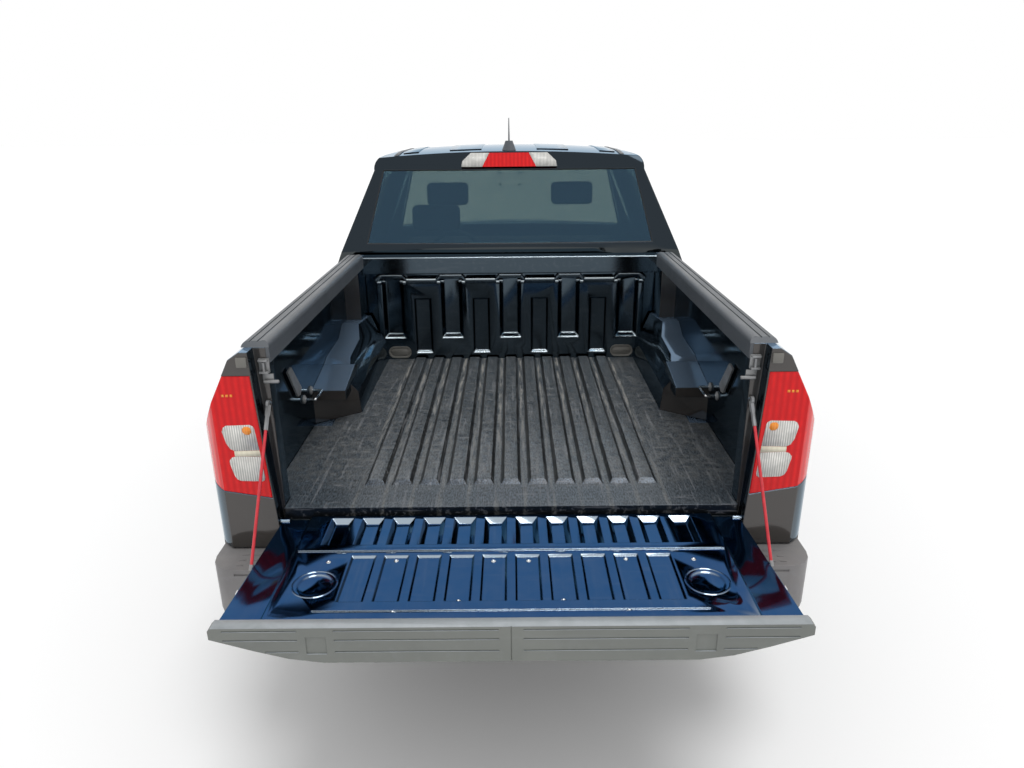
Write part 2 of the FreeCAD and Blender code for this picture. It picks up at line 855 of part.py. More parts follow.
def build_front():
    hood_zone = extruded(hood_outline(s.panel_gap), Vector(0, 0, s.roof_height))
    hood_hole = extruded(hood_outline(-s.panel_gap), Vector(0, 0, s.roof_height))
    hood_under = nose_form.translated(Vector(0, 0, -s.hood_thick))
    keep("hood", nose_form.cut(hood_under).common(hood_zone))
    walls = nose_form.cut([nose_room, hood_hole])
    split = s.nose + s.lamp_reach + s.nose_sweep
    fenders = walls.common(across(split, s.door_front, s.rocker_level, s.roof_height, cab_reach))
    fenders = fenders.cut([arch_tube.translated(Vector(0, s.front_axle, 0)), across(
        s.nose, s.door_front, s.chin_level, s.sill_edge_level, s.half_width / 2),
        across(s.nose, s.door_front, s.chin_level, s.sill_level, cab_reach)])
    cowl_zone = across(s.cowl + s.panel_gap / 2, s.door_front, s.nose_level, s.roof_height,
                       s.hood_rear_half + s.panel_gap / 2)
    lug_low = s.hood_rear_level - s.hood_crown
    hood_lugs = [block((side * s.hood_lug_at - s.lug_half, s.cowl - s.panel_gap / 2 + s.seat_clearance,
                        lug_low), (side * s.hood_lug_at + s.lug_half, s.cowl + s.panel_gap,
                                   lug_low + s.lug_half)) for side in (1, -1)]
    keep("cowl_panel", fenders.common(cowl_zone).fuse(hood_lugs))
    fenders = fenders.cut(cowl_zone)
    left = block((0, s.nose, 0), (cab_reach, s.door_front, s.roof_height))
    keep("fender_left", fenders.common(left))
    keep("fender_right", mirrored(fenders.common(left)))
    ahead = s.nose - s.cut_over
    mask = walls.common(across(ahead, split - s.panel_gap, s.chin_level, s.roof_height, cab_reach))
    bumper = mask.common(across(ahead, split, s.chin_level, s.bumper_top_level, cab_reach))
    lamp_zone = block((s.lamp_inner_half, ahead, s.lamp_low_level),
                      (cab_reach, split - s.panel_gap, s.lamp_top_level))
    lamp = nose_form.common(lamp_zone).cut([hood_hole, nose_form.translated(
        Vector(0, s.lamp_depth, 0)).cut(
            block((s.half_width - s.lamp_depth, ahead, 0), (cab_reach, s.front_axle, s.roof_height)))])
    grille_half = s.lamp_inner_half - s.panel_gap
    grille_zone = across(ahead, split, s.grille_low_level, s.lamp_top_level, grille_half)
    grille = nose_form.common(grille_zone).cut(nose_form.translated(Vector(0, s.grille_depth, 0)))
    hole_low = s.grille_low_level + s.grille_frame
    pitch = (s.lamp_top_level - s.grille_frame - hole_low) / s.grille_bar_count
    holes = [across(ahead, split, hole_low + pitch * turn,
                    hole_low + pitch * (turn + 1) - s.grille_bar_thick, grille_half - s.grille_frame)
             for turn in range(s_count("grille_bar_count"))]
    keep("front_bumper", bumper)
    keep("grille", grille.cut(holes))
    keep("head_lamps", Part.makeCompound([lamp, mirrored(lamp)]))
    keep("front_panel", mask.common(across(
        ahead, split, s.bumper_top_level, s.roof_height, cab_reach)).cut(
        [lamp_zone, mirrored(lamp_zone), grille_zone]))


build_front()
build_cab()
build_doors()


# Cargo box: double-walled sides with wheelhouses, bulkhead, ribbed floor and rail caps

def box_section():
    return (
        (s.box_inner_half, s.box_side_low_level),
        (s.box_low_half, s.box_side_low_level),
        (s.box_edge_half, s.box_edge_level),
        ((s.half_width, s.wide_level), (s.box_crest_half, s.box_crest_level)),
        (s.box_shoulder_half, s.box_shoulder_level),
        (s.cap_half - s.cap_skirt_thick, s.box_rail_level),
        (s.box_inner_half, s.box_rail_level),
    )


def wheelhouse():
    """The wheelhouse: seen from the side, from above and from behind, and its sloping pad."""
    axle, base, front = s.rear_axle, s.box_floor_level, s.bulkhead_face
    side_view = extruded(wire(
        side_plane(s.wheelhouse_half),
        (front, base),
        (front, s.house_front_level),
        (axle - s.house_high_reach, s.house_high_level),
        (axle - s.house_mid_reach, s.house_mid_level),
        (axle + s.house_step_reach, s.house_step_level),
        (axle + s.house_slant_reach, s.house_rear_level),
        (axle + s.house_rear_reach, s.house_rear_level),
        (axle + s.house_outer_reach, base),
    ), Vector(s.half_width - s.wheelhouse_half, 0, 0))
    from_above = extruded(wire(
        level_plane(base),
        (s.wheelhouse_half, front),
        (s.recess_half + s.cut_over, front),
        (s.recess_half + s.cut_over, axle + s.house_outer_reach + s.wheelhouse_skin),
        (s.wheelhouse_half, axle + s.house_slant_reach),
    ), Vector(0, 0, s.roof_height))
    from_behind = along_y((
        (0, base), (s.wheelhouse_half, base),
        (s.wheelhouse_foot_half, s.wheelhouse_foot_level),
        (s.wheelhouse_waist_half, s.wheelhouse_waist_level),
        (s.wheelhouse_crest_half, s.wheelhouse_level),
        (s.recess_half + s.cut_over, s.wheelhouse_level),
        (s.recess_half + s.cut_over, base),
    ), front, axle + s.house_outer_reach)
    pad_rear, pad_front = axle + s.house_rear_reach, axle + s.house_pad_front_reach
    sloping_pad = extruded(wire(
        side_plane(s.house_pad_inner_half),
        (pad_rear, s.house_rear_level - s.cut_over),
        (pad_rear, s.house_rear_level),
        (pad_front, s.house_pad_front_level),
        (pad_front, s.house_rear_level - s.cut_over),
    ), Vector(s.house_pad_outer_half - s.house_pad_inner_half, 0, 0))
    return side_view.common(from_above).common(from_behind).fuse(sloping_pad)


def jamb_half_at(level):
    """How far out the tailgate opening's edge lies at a level."""
    lean_share = (level - s.hinge_level) / (s.jamb_head_level - s.hinge_level)
    return s.jamb_half + (s.jamb_head_half - s.jamb_half) * lean_share


def jamb_prism():
    front = s.hinge_line - s.post_ahead
    low, high = s.chin_level, s.roof_height
    outline = wire(front_plane(front), (0, low), (jamb_half_at(low), low),
                   (jamb_half_at(high), high), (0, high))
    return extruded(outline, Vector(0, s.post_ahead + s.post_behind_hinge + s.cut_over, 0))


def build_box():
    rear = s.hinge_line + s.post_behind_hinge
    plane = front_plane(s.box_front)
    side = extruded(wire(plane, *box_section()), Vector(0, rear - s.box_front, 0))
    corner = extruded(wire(
        level_plane(s.chin_level), (0, s.box_front), (s.half_width, s.box_front),
        (s.half_width, rear - s.corner_start),
        ((s.half_width - s.corner_mid_inset, rear - s.corner_mid_ahead), (s.corner_half, rear)),
        (0, rear)), Vector(0, 0, s.roof_height))
    side = side.common(corner)
    house = wheelhouse()
    recess = block((0, s.bulkhead_face + s.recess_front_setback, s.box_floor_level - s.box_floor_thick),
                   (s.recess_half, s.hinge_line - s.recess_rear_setback, s.recess_top_level))
    cavity = Part.makeCylinder(s.arch_radius, s.body_width,
                               Vector(s.wheelhouse_half + s.wheelhouse_skin, s.rear_axle, s.tyre_radius),
                               Vector(1, 0, 0))
    hollow = house.translated(Vector(s.wheelhouse_skin * 2, 0, -s.wheelhouse_skin * 2)).common(
        arch_tube.translated(Vector(0, s.rear_axle, s.cut_over * 4)))
    low_inner, top_inner = (jamb_half_at(level) + s.lamp_wall
                            for level in (s.lamp_rear_low_level, s.lamp_rear_top_level))
    lamp_zone = extruded(wire(
        front_plane(s.hinge_line - s.lamp_rear_wrap), (low_inner, s.lamp_rear_low_level),
        (cab_reach, s.lamp_rear_low_level + s.lamp_rear_tilt), (cab_reach, s.lamp_rear_top_level),
        (top_inner, s.lamp_rear_top_level)), Vector(0, s.lamp_rear_wrap + s.cut_over, 0))
    lamp_core = side.translated(Vector(-s.lamp_rear_depth, -s.lamp_rear_depth, 0))
    lamp = side.common(lamp_zone).cut(lamp_core)
    anchor = Vector(s.cable_upper_half, s.hinge_line - s.post_ahead, s.cable_upper_level)
    lug_thick = s.post_ahead - s.cable_upper_ahead - s.cable_radius - s.seat_clearance
    lug = Part.makeCylinder(s.cable_lug_radius, lug_thick, anchor, Vector(0, 1, 0))
    notch = block((0, s.rear_bumper_back - s.rear_bumper_depth - s.panel_gap, 0),
                  (cab_reach, rear + s.cut_over, s.rear_bumper_top_level + s.panel_gap))
    side = side.cut([recess, jamb_prism(), lamp, notch]).fuse([house, lug]).cut([cavity, hollow])
    keep("box_side_left", side)
    keep("box_side_right", mirrored(side))
    keep("tail_lamps", Part.makeCompound([lamp, mirrored(lamp)]))


def build_rail_caps():
    low, high = s.box_rail_level, s.box_rail_level + s.cap_thick
    inner = s.cap_half - s.cap_width
    skirt_low = low - s.cap_skirt
    front = s.bulkhead_face + s.bulkhead_header
    rear = s.hinge_line - s.post_ahead
    grooves = []
    for start in (s.cap_half - s.cap_groove_margin, inner + s.cap_groove_margin + s.cap_groove_width):
        grooves += [(start, high), (start, high - s.cap_groove_deep),
                    (start - s.cap_groove_width, high - s.cap_groove_deep),
                    (start - s.cap_groove_width, high)]
    outline = wire(
        front_plane(front),
        (inner - s.cap_skirt_thick, skirt_low),
        (s.box_inner_half, skirt_low),
        (s.box_inner_half, low),
        (s.cap_half, low),
        ((s.cap_half - s.cap_thick * 0.3, low + s.cap_thick * 0.7), (s.cap_half - s.cap_thick, high)),
        *grooves,
        (inner + s.cap_thick, high),
        ((inner - s.cap_skirt_thick + s.cap_thick * 0.3, low + s.cap_thick * 0.7),
         (inner - s.cap_skirt_thick, low)),
    )
    end_slope = extruded(wire(
        side_plane(0), (rear, low), (rear, high + s.cut_over), (rear - s.cap_end_slope, high + s.cut_over),
        (rear - s.cap_end_slope, high)), Vector(cab_reach, 0, 0))
    cap = extruded(outline, Vector(0, rear - front, 0)).cut(end_slope)
    keep("rail_caps", Part.makeCompound([cap, mirrored(cap)]))


build_box()
build_rail_caps()


# Pieces made from sketches: each outline point is a pair of formulas over the sizes

def new_body(label):
    body = doc.addObject("PartDesign::Body", label)
    body.Label = label
    nodes.append(body)
    return body


def sketch_on(body, role, points, height="0"):
    """A closed outline on one of the body's own planes, each corner tied to its formulas."""
    sketch = body.newObject("Sketcher::SketchObject", body.Name + "_outline")
    plane = next(item for item in body.Origin.OriginFeatures if item.Role == role)
    sketch.AttachmentSupport = [(plane, "")]
    sketch.MapMode = "FlatFace"
    sketch.setExpression("AttachmentOffset.Base.z", bind(height))
    places = [tuple(float(sketch.evalExpression(bind(part))) for part in point) for point in points]
    for turn, (start, end) in enumerate(zip(places, places[1:] + places[:1])):
        sketch.addGeometry(Part.LineSegment(Vector(*start, 0), Vector(*end, 0)), False)
    for turn in range(len(points)):
        sketch.addConstraint(Sketcher.Constraint("Coincident", turn, 2, (turn + 1) % len(points), 1))
    for turn, (across_text, up_text) in enumerate(points):
        for kind, text, place in (("DistanceX", across_text, places[turn][0]),
                                  ("DistanceY", up_text, places[turn][1])):
            number = sketch.addConstraint(Sketcher.Constraint(kind, -1, 1, turn, 1, place))
            sketch.setExpression(f"Constraints[{number}]", bind(text))
    return sketch


def pad(body, role, points, length, height="0", symmetric=False):
    sketch = sketch_on(body, role, points, height)
    doc.recompute()
    feature = body.newObject("PartDesign::Pad", body.Name + "_pad")
    feature.Profile = sketch
    feature.setExpression("Length", bind(length))
    if symmetric:
        feature.SideType = "Symmetric"
    doc.recompute()
    return feature


def pocket(body, role, points, length, height="0", reverse=False, lean="0"):
    """A pocket whose walls close in by the lean, in degrees, as it goes down."""
    sketch = sketch_on(body, role, points, height)
    doc.recompute()
    feature = body.newObject("PartDesign::Pocket", body.Name + "_pocket")
    feature.Profile = sketch
    feature.Reversed = reverse
    feature.setExpression("Length", bind(length))
    if lean != "0":
        feature.setExpression("TaperAngle", bind(f"-{lean}"))
    doc.recompute()
    return feature


def row_of(body, feature, axis_role, count, length):
    """Copies of a feature in a straight row along one of the body's own axes."""
    pattern = body.newObject("PartDesign::LinearPattern", body.Name + "_row")
    pattern.Originals = [feature]
    axis = next(item for item in body.Origin.OriginFeatures if item.Role == axis_role)
    pattern.Direction = (axis, [""])
    pattern.setExpression("Length", bind(length))
    pattern.setExpression("Occurrences", bind(count))
    body.Tip = pattern
    doc.recompute()
    return pattern


def turned(body, role, points, axis_role):
    """A full turn of an outline about one of the body's own axes."""
    sketch = sketch_on(body, role, points)
    doc.recompute()
    feature = body.newObject("PartDesign::Revolution", body.Name + "_turn")
    feature.Profile = sketch
    axis = next(item for item in body.Origin.OriginFeatures if item.Role == axis_role)
    feature.ReferenceAxis = (axis, [""])
    doc.recompute()
    return feature


def rectangle(left, right, low, high):
    return [(left, low), (right, low), (right, high), (left, high)]


def build_box_floor():
    body = new_body("box_floor")
    house_rear, recess_rear = "rear_axle + house_outer_reach", "hinge_line - recess_rear_setback"
    edge = [("floor_half", "bulkhead_face"), ("floor_half", house_rear), ("recess_half", house_rear),
            ("recess_half", recess_rear), ("floor_half", recess_rear), ("floor_half", "floor_rear")]
    other_edge = [(f"-{half}", along) for half, along in reversed(edge)]
    pad(body, "XY_Plane", edge + other_edge, "box_floor_thick", "box_floor_level - box_floor_thick")
    first = "-(rib_count - 1) / 2 * rib_pitch"
    rib = pad(body, "XZ_Plane", [
        (f"{first} - rib_width / 2", "box_floor_level - box_floor_thick / 2"),
        (f"{first} + rib_width / 2", "box_floor_level - box_floor_thick / 2"),
        (f"{first} + rib_width / 2", "box_floor_level"),
        (f"{first} + rib_top_width / 2", "box_floor_level + rib_rise"),
        (f"{first} - rib_top_width / 2", "box_floor_level + rib_rise"),
        (f"{first} - rib_width / 2", "box_floor_level"),
    ], "box_length - rib_rear_setback - rib_front_setback", "-(bulkhead_face + rib_front_setback)")
    rib.Reversed = True
    row_of(body, rib, "X_Axis", "rib_count", "(rib_count - 1) * rib_pitch")
    rib_rear, top = "hinge_line - rib_rear_setback", "box_floor_level + rib_rise"
    pocket(body, "YZ_Plane", [
        (rib_rear, "box_floor_level"), (rib_rear, f"{top} + rib_rise"),
        (f"{rib_rear} - rib_end_slope * 2", f"{top} + rib_rise"),
    ], "floor_half * 2", "floor_half")
    sill = pad(body, "XZ_Plane", rectangle(
        "-floor_half", "floor_half", "box_floor_level - sill_flange", "box_floor_level - box_floor_thick / 2"),
        "sill_flange_thick", "-(floor_rear - sill_flange_thick)")
    sill.Reversed = True
    doc.recompute()


def build_bulkhead():
    """The pressed front wall: a raised field with open channels, a ridge and a header."""
    body = new_body("bulkhead")
    plate = pad(body, "XZ_Plane", rectangle(
        "-box_inner_half", "box_inner_half", "box_floor_level - bulkhead_drop", "bulkhead_level"),
        "bulkhead_plate", "-(box_front)")
    plate.Reversed = True
    header = pad(body, "XZ_Plane", rectangle(
        "-box_inner_half", "box_inner_half", "bulkhead_level - bulkhead_header", "box_rail_level"),
        "bulkhead_thick + bulkhead_header", "-(box_front)")
    header.Reversed = True
    field = pad(body, "XZ_Plane", rectangle(
        "-field_half", "field_half", "box_floor_level - bulkhead_drop", "field_top_level"),
        "bulkhead_thick", "-(box_front)")
    field.Reversed = True
    channel = pocket(body, "XZ_Plane", rectangle(
        "-(channel_count - 1) / 2 * channel_pitch - channel_width / 2",
        "-(channel_count - 1) / 2 * channel_pitch + channel_width / 2",
        "channel_low_level", "field_top_level + ridge_rise + ridge_thick"),
        "bulkhead_thick - bulkhead_plate", "-(bulkhead_face)", True, "channel_lean")
    row_of(body, channel, "X_Axis", "channel_count", "(channel_count - 1) * channel_pitch")
    panel = pocket(body, "XZ_Plane", rectangle(
        "-(panel_count - 1) / 2 * channel_pitch - panel_width / 2",
        "-(panel_count - 1) / 2 * channel_pitch + panel_width / 2",
        "panel_low_level", "panel_top_level"), "panel_deep", "-(bulkhead_face)", True, "channel_lean")
    row_of(body, panel, "X_Axis", "panel_count", "(panel_count - 1) * channel_pitch")
    base = "field_top_level - ridge_lap"
    low = [("-field_half", base)]
    for turn in range(s_count("channel_count")):
        centre = f"({turn} - (channel_count - 1) / 2) * channel_pitch"
        half = "channel_width / 2"
        low += [(f"{centre} - {half} - ridge_slope", base),
                (f"{centre} - {half}", "field_top_level + ridge_rise"),
                (f"{centre} + {half}", "field_top_level + ridge_rise"),
                (f"{centre} + {half} + ridge_slope", base)]
    low[-1] = ("field_half", base)
    low[1:2] = []
    high = [(along, f"{level} + ridge_thick + ridge_lap") for along, level in reversed(low)]
    ridge = pad(body, "XZ_Plane", low + high, "bulkhead_thick + ridge_proud", "-(box_front)")
    ridge.Reversed = True


def tailgate_side_cut(side):
    """The space below one side of the tailgate, whose underside curves up to its edge."""
    return [(f"{side} * tailgate_belly_half", "tailgate_low_level"),
            (f"{side} * tailgate_bend_half", "tailgate_bend_level"),
            (f"{side} * tailgate_lean_half", "tailgate_lean_level"),
            (f"{side} * tailgate_cap_half", "tailgate_edge_level"),
            (f"{side} * (tailgate_cap_half + cut_over)", "tailgate_edge_level"),
            (f"{side} * (tailgate_cap_half + cut_over)", "tailgate_low_level - cut_over"),
            (f"{side} * tailgate_belly_half", "tailgate_low_level - cut_over")]


def tailgate_flange_cut(side):
    return [(f"{side} * tailgate_flange_half", "tailgate_top_level"),
            (f"{side} * (tailgate_flange_half + tailgate_flange_slope)", "tailgate_flange_level"),
            (f"{side} * (tailgate_cap_half + cut_over)", "tailgate_flange_level"),
            (f"{side} * (tailgate_cap_half + cut_over)", "tailgate_top_level + cut_over"),
            (f"{side} * tailgate_flange_half", "tailgate_top_level + cut_over")]


def build_tailgate():
    """The pressed inner face with its rows of recesses, hinge pins and cable lugs."""
    body = new_body("tailgate_panel")
    top, run = "tailgate_top_level", "tailgate_far - tailgate_near"
    pad(body, "XY_Plane", [
        ("-tailgate_near_half", "tailgate_near"), ("tailgate_near_half", "tailgate_near"),
        ("tailgate_far_half", "tailgate_far"), ("-tailgate_far_half", "tailgate_far"),
    ], f"{top} - tailgate_low_level", "tailgate_low_level")
    for side in (1, -1):
        for outline in (tailgate_side_cut(side), tailgate_flange_cut(side)):
            pocket(body, "XZ_Plane", outline, run, "-(tailgate_near)")
    pocket(body, "YZ_Plane", [
        ("tailgate_near", "tailgate_lip_level"),
        ("hinge_line + tailgate_knee_behind", "tailgate_knee_level"),
        ("hinge_line + tailgate_belly_behind", "tailgate_low_level"),
        ("hinge_line + tailgate_belly_behind", "tailgate_low_level - cut_over"),
        ("tailgate_near", "tailgate_low_level - cut_over"),
    ], "tailgate_cap_half * 2", "tailgate_cap_half")
    for name in ("recess", "pad"):
        count = f"{name}_count"
        first = f"-({count} - 1) / 2 * {name}_pitch"
        near = f"hinge_line + {name}_row_start"
        dent = pocket(body, "XY_Plane", rectangle(
            f"{first} - {name}_width / 2", f"{first} + {name}_width / 2", near,
            f"{near} + {name}_row_depth"), f"{name}_deep", top, False, f"{name}_lean")
        row_of(body, dent, "X_Axis", count, f"({count} - 1) * {name}_pitch")
    groove = "hinge_line + groove_behind"
    pocket(body, "XY_Plane", rectangle("-groove_half", "groove_half", groove, f"{groove} + groove_width"),
           "groove_deep", top)
    bar = "hinge_line + bar_behind"
    pad(body, "XY_Plane", rectangle("-bar_half", "bar_half", bar, f"{bar} + bar_width"),
        "bar_rise * 2", f"{top} - bar_rise")
    nodes.remove(body)
    hinge = Vector(0, s.tailgate_hinge, s.hinge_level)
    fittings, dishes = [], []
    for side in (1, -1):
        inner = side * (s.tailgate_near_half - s.hinge_pin_reach)
        outer = side * (jamb_half_at(s.hinge_level - s.hinge_pin_radius) - s.seat_clearance)
        fittings.append(tube_between(hinge + Vector(inner, 0, 0), hinge + Vector(outer, 0, 0),
                                     s.hinge_pin_radius))
        lug_end = s.cable_lower_half - s.cable_radius - s.seat_clearance
        lug = Vector(side * (lug_end - s.cable_lug_root), s.hinge_line + s.cable_lower_behind,
                     s.cable_lower_level)
        fittings.append(tube_between(lug, lug + Vector(side * s.cable_lug_root, 0, 0), s.cable_lug_radius))
        dishes.append(Part.makeCone(
            s.dish_floor_radius, s.dish_radius, s.dish_deep,
            Vector(side * s.dish_half, s.hinge_line + s.dish_behind, s.tailgate_top_level - s.dish_deep)))
    keep("tailgate", body.Shape.fuse(fittings).cut(dishes))


def build_tailgate_cap():
    """The moulded strip along the tailgate's far edge, with its grooves and two sockets."""
    far, rear, top = s.tailgate_far, s.half_reach, s.tailgate_cap_level
    strip = along_y((
        (0, s.tailgate_low_level), (s.tailgate_belly_half, s.tailgate_low_level),
        (s.tailgate_bend_half, s.tailgate_bend_level), (s.tailgate_lean_half, s.tailgate_lean_level),
        (s.tailgate_cap_half, s.tailgate_edge_level),
        (s.tailgate_cap_half, top - s.cap_edge_slope),
        (s.tailgate_cap_half - s.cap_edge_slope, top), (0, top)), far, rear)
    inner, outer = s.cap_line_inner_half, s.cap_line_outer_half
    lines = [(level, start, end) for level in (s.cap_line_level, s.cap_mid_line_level)
             for start, end in ((inner, outer), (s.cap_end_line_half, s.cap_end_line_reach))]
    lines += [(s.cap_low_line_level, inner, outer),
              (s.cap_low_line_level, s.cap_end_line_half, s.cap_low_line_reach)]
    cuts = [block((start, rear - s.cap_line_deep, level - s.cap_line_width / 2),
                  (end, rear + s.cut_over, level + s.cap_line_width / 2)) for level, start, end in lines]
    cuts.append(block((s.cap_socket_half - s.cap_socket_width / 2, rear - s.cap_socket_deep,
                       s.cap_socket_level),
                      (s.cap_socket_half + s.cap_socket_width / 2, rear + s.cut_over,
                       s.cap_socket_level + s.cap_socket_width)))
    seam = across(rear - s.cap_seam, rear + s.cut_over, s.tailgate_low_level, top + s.cut_over,
                  s.cap_seam / 2)
    keep("tailgate_cap", strip.cut([*cuts, *map(mirrored, cuts), seam]))


def build_cables():
    """The two coated cables that hold the tailgate level, with their end fittings."""
    for side, name in ((1, "left"), (-1, "right")):
        upper = Vector(side * s.cable_upper_half, s.hinge_line - s.cable_upper_ahead, s.cable_upper_level)
        lower = Vector(side * s.cable_lower_half, s.hinge_line + s.cable_lower_behind,
                       s.cable_lower_level)
        keep(f"tailgate_cable_{name}", tube_between(upper, lower, s.cable_radius))


def build_rear_bumper():
    """The hollow rear bumper with its rounded ends, a bare plate recess and a step groove."""
    body = new_body("rear_bumper")
    back = "rear_bumper_back"
    front = f"{back} - rear_bumper_depth"
    low = "rear_bumper_top_level - rear_bumper_drop"
    edge = [("rear_bumper_half", front)]
    turns = s_count("rear_bumper_turns")
    for turn in range(turns + 1):
        angle = math.pi / 2 * turn / turns
        edge.append((f"rear_bumper_half - rear_bumper_corner * {1 - math.cos(angle):.6f}",
                     f"{back} - rear_bumper_corner * {1 - math.sin(angle):.6f}"))
    other_edge = [(f"-({half})", along) for half, along in reversed(edge)]
    pad(body, "XY_Plane", edge + other_edge, "rear_bumper_drop", low)
    pocket(body, "XY_Plane", rectangle(
        "-(rear_bumper_half - rear_bumper_shell)", "rear_bumper_half - rear_bumper_shell",
        f"{front} - cut_over", f"{back} - rear_bumper_shell"),
        "rear_bumper_drop - rear_bumper_shell / 2", low, True)
    top = "rear_bumper_top_level - plate_recess_drop"
    pocket(body, "XZ_Plane", rectangle(
        "-plate_recess_half", "plate_recess_half", f"{top} - plate_recess_height", top),
        "plate_recess_deep", f"-({back})", True)
    line = "rear_bumper_top_level - bumper_groove_drop"
    pocket(body, "XZ_Plane", rectangle(
        "-(rear_bumper_half - rear_bumper_corner)", "rear_bumper_half - rear_bumper_corner",
        f"{line} - bumper_groove_width", line), "bumper_groove_deep", f"-({back})", True)


build_box_floor()
build_bulkhead()
build_tailgate()
build_tailgate_cap()
build_cables()
build_rear_bumper()


# Wheels: a tyre and a spoked rim, each turned about the axle, then set in its place

def wheel_centre(side, axle):
    return Placement(Vector(side * s.track / 2, axle, s.tyre_radius),
                     Rotation(Vector(0, 0, 1), 0 if side > 0 else 180))


def build_tyre(name, place):
    bead = s.rim_width / 2 - s.rim_lip - s.seat_clearance
    half = s.tyre_width / 2
    side = [
        (bead, s.rim_radius - s.rim_lip + s.seat_clearance),
        (bead, s.rim_radius + s.seat_clearance),
        (half - s.tyre_bulge, s.rim_radius + s.tyre_shoulder / 2),
        (half, (s.rim_radius + s.tyre_radius) / 2),
        (half - s.tyre_bulge, s.tyre_radius - s.tyre_shoulder),
        (half - s.tyre_shoulder / 2 - s.tyre_bulge, s.tyre_radius - s.tyre_bulge),
        (half - s.tyre_shoulder - s.tyre_bulge, s.tyre_radius),
    ]
    other = [(-along, radius) for along, radius in reversed(side)]
    keep(f"tyre_{name}", faceted_turn(side + other, s_count("wheel_facets"), Vector(0, 0, 0),
                                      Vector(1, 0, 0), Vector(0, 0, 1)), place)


def build_rim(name, place):
    """The spoked rim with its brake disc and hub behind it."""
    half = s.rim_width / 2
    face = half - s.rim_dish
    seat = face - s.spoke_thick
    inside = s.rim_radius - s.rim_lip - s.rim_wall
    low = s.rim_radius - s.rim_lip
    flange, disc = seat - s.flange_thick - s.disc_hat, seat - s.flange_thick - s.disc_hat - s.disc_thick
    count, middle, axis, up = s_count("wheel_facets"), Vector(0, 0, 0), Vector(1, 0, 0), Vector(0, 0, 1)
    barrel = faceted_turn([
        (half, s.rim_radius), (half - s.rim_lip, s.rim_radius), (half - s.rim_lip, low),
        (s.rim_lip - half, low), (s.rim_lip - half, s.rim_radius), (-half, s.rim_radius),
        (-half, inside), (seat, inside), (seat, 0), (face, 0), (face, s.hub_radius),
        (half - s.rim_lip / 2, inside)], count, middle, axis, up)
    near = s.hub_radius + s.spoke_window_inner / 2
    far = s.spoke_gap_radius + s.rim_dish / 2
    window = extruded(wire(
        side_plane(-half), (-s.spoke_window_inner / 2, near), (s.spoke_window_inner / 2, near),
        (s.spoke_window_outer / 2, far), (-s.spoke_window_outer / 2, far)), Vector(s.rim_width, 0, 0))
    turns = [turn * 360 / s_count("spoke_count") for turn in range(s_count("spoke_count"))]
    windows = [window.rotated(middle, axis, turn) for turn in turns]
    brake = faceted_turn([
        (seat, 0), (seat, s.flange_radius), (flange, s.flange_radius), (flange, s.disc_radius),
        (disc, s.disc_radius), (disc, 0)], count, middle, axis, up)
    bore = Part.makeCylinder(s.hub_bore, s.rim_width, Vector(-half, 0, 0), axis)
    keep(f"rim_{name}", barrel.cut(windows).fuse(brake).cut(bore), place)


for end, axle in (("front", s.front_axle), ("rear", s.rear_axle)):
    for side, hand in ((1, "left"), (-1, "right")):
        centre = wheel_centre(side, axle)
        build_tyre(f"{end}_{hand}", centre)
        build_rim(f"{end}_{hand}", centre)


# Chassis: ladder frame, axles, suspension, steering, driveline, tank and exhaust

def build_rails():
    """The two box-section rails, which rise over the rear axle."""
    body = new_body("frame_rail_left")
    half = "rail_depth / 2"
    stations = [
        ("nose + frame_front_clear", "frame_front_level"),
        ("front_axle + kick_run", "frame_front_level"),
        ("front_axle + kick_run * 2", "frame_mid_level"),
        ("cab_back", "frame_mid_level"),
        ("cab_back + kick_run", "frame_rear_level"),
        ("floor_rear - rail_width", "frame_rear_level"),
    ]
    lower = [(along, f"{level} - {half}") for along, level in stations]
    upper = [(along, f"{level} + {half}") for along, level in reversed(stations)]
    pad(body, "YZ_Plane", lower + upper, "rail_width", "rail_centre - rail_width / 2")
    keep("frame_rail_right", mirrored(body.Shape))


def build_cross_members():
    """What lies between the rails and on them, each piece welded or bolted to the rails."""
    inner = s.rail_centre - s.rail_width / 2
    half = s.rail_depth / 2
    low, high = s.frame_mid_level - half, s.frame_mid_level + half
    rear_low, rear_high = s.frame_rear_level - half / 2, s.frame_rear_level + half / 2
    crossings = [
        (s.nose + s.frame_front_clear, s.frame_front_level - half / 2, s.frame_front_level + half / 2),
        (s.front_axle + s.kick_run * 2.5, low, low + s.cross_thick),
        (s.cab_back - s.cross_width * 3, high - s.cross_thick * 1.4, high),
        (s.cab_back + s.kick_run, rear_low, rear_high),
        (s.rear_axle + s.wheelhouse_reach, rear_low, rear_high),
        (s.floor_rear - s.rail_width - s.cross_width, rear_low, rear_high),
    ]
    members = [across(along, along + s.cross_width, bottom, top, inner)
               for along, bottom, top in crossings]
    keep("cross_members", Part.makeCompound([
        *members, *cab_pucks(), *box_sills(), rack_housing(), *spring_hangers(), *bumper_brackets()]))


def cab_pucks():
    low = s.frame_mid_level + s.rail_depth / 2
    high = s.cab_floor_level - s.cab_floor_thick
    first, last = s.front_axle + s.kick_run * 3, s.cab_back - s.cross_width * 2
    return [Part.makeCylinder(s.mount_radius, high - low, Vector(side * s.rail_centre, along, low))
            for side in (1, -1) for along in (first, (first + last) / 2, last)]


def box_sills():
    low = s.frame_rear_level + s.rail_depth / 2
    high = s.box_floor_level - s.box_floor_thick
    first, last = s.bulkhead_face + s.box_sill_width, s.floor_rear - s.rail_width - s.box_sill_width * 2
    step = (last - first) / (s_count("box_sill_count") - 1)
    return [across(first + step * turn, first + step * turn + s.box_sill_width, low, high,
                   s.wheelhouse_half - s.cut_over) for turn in range(s_count("box_sill_count"))]


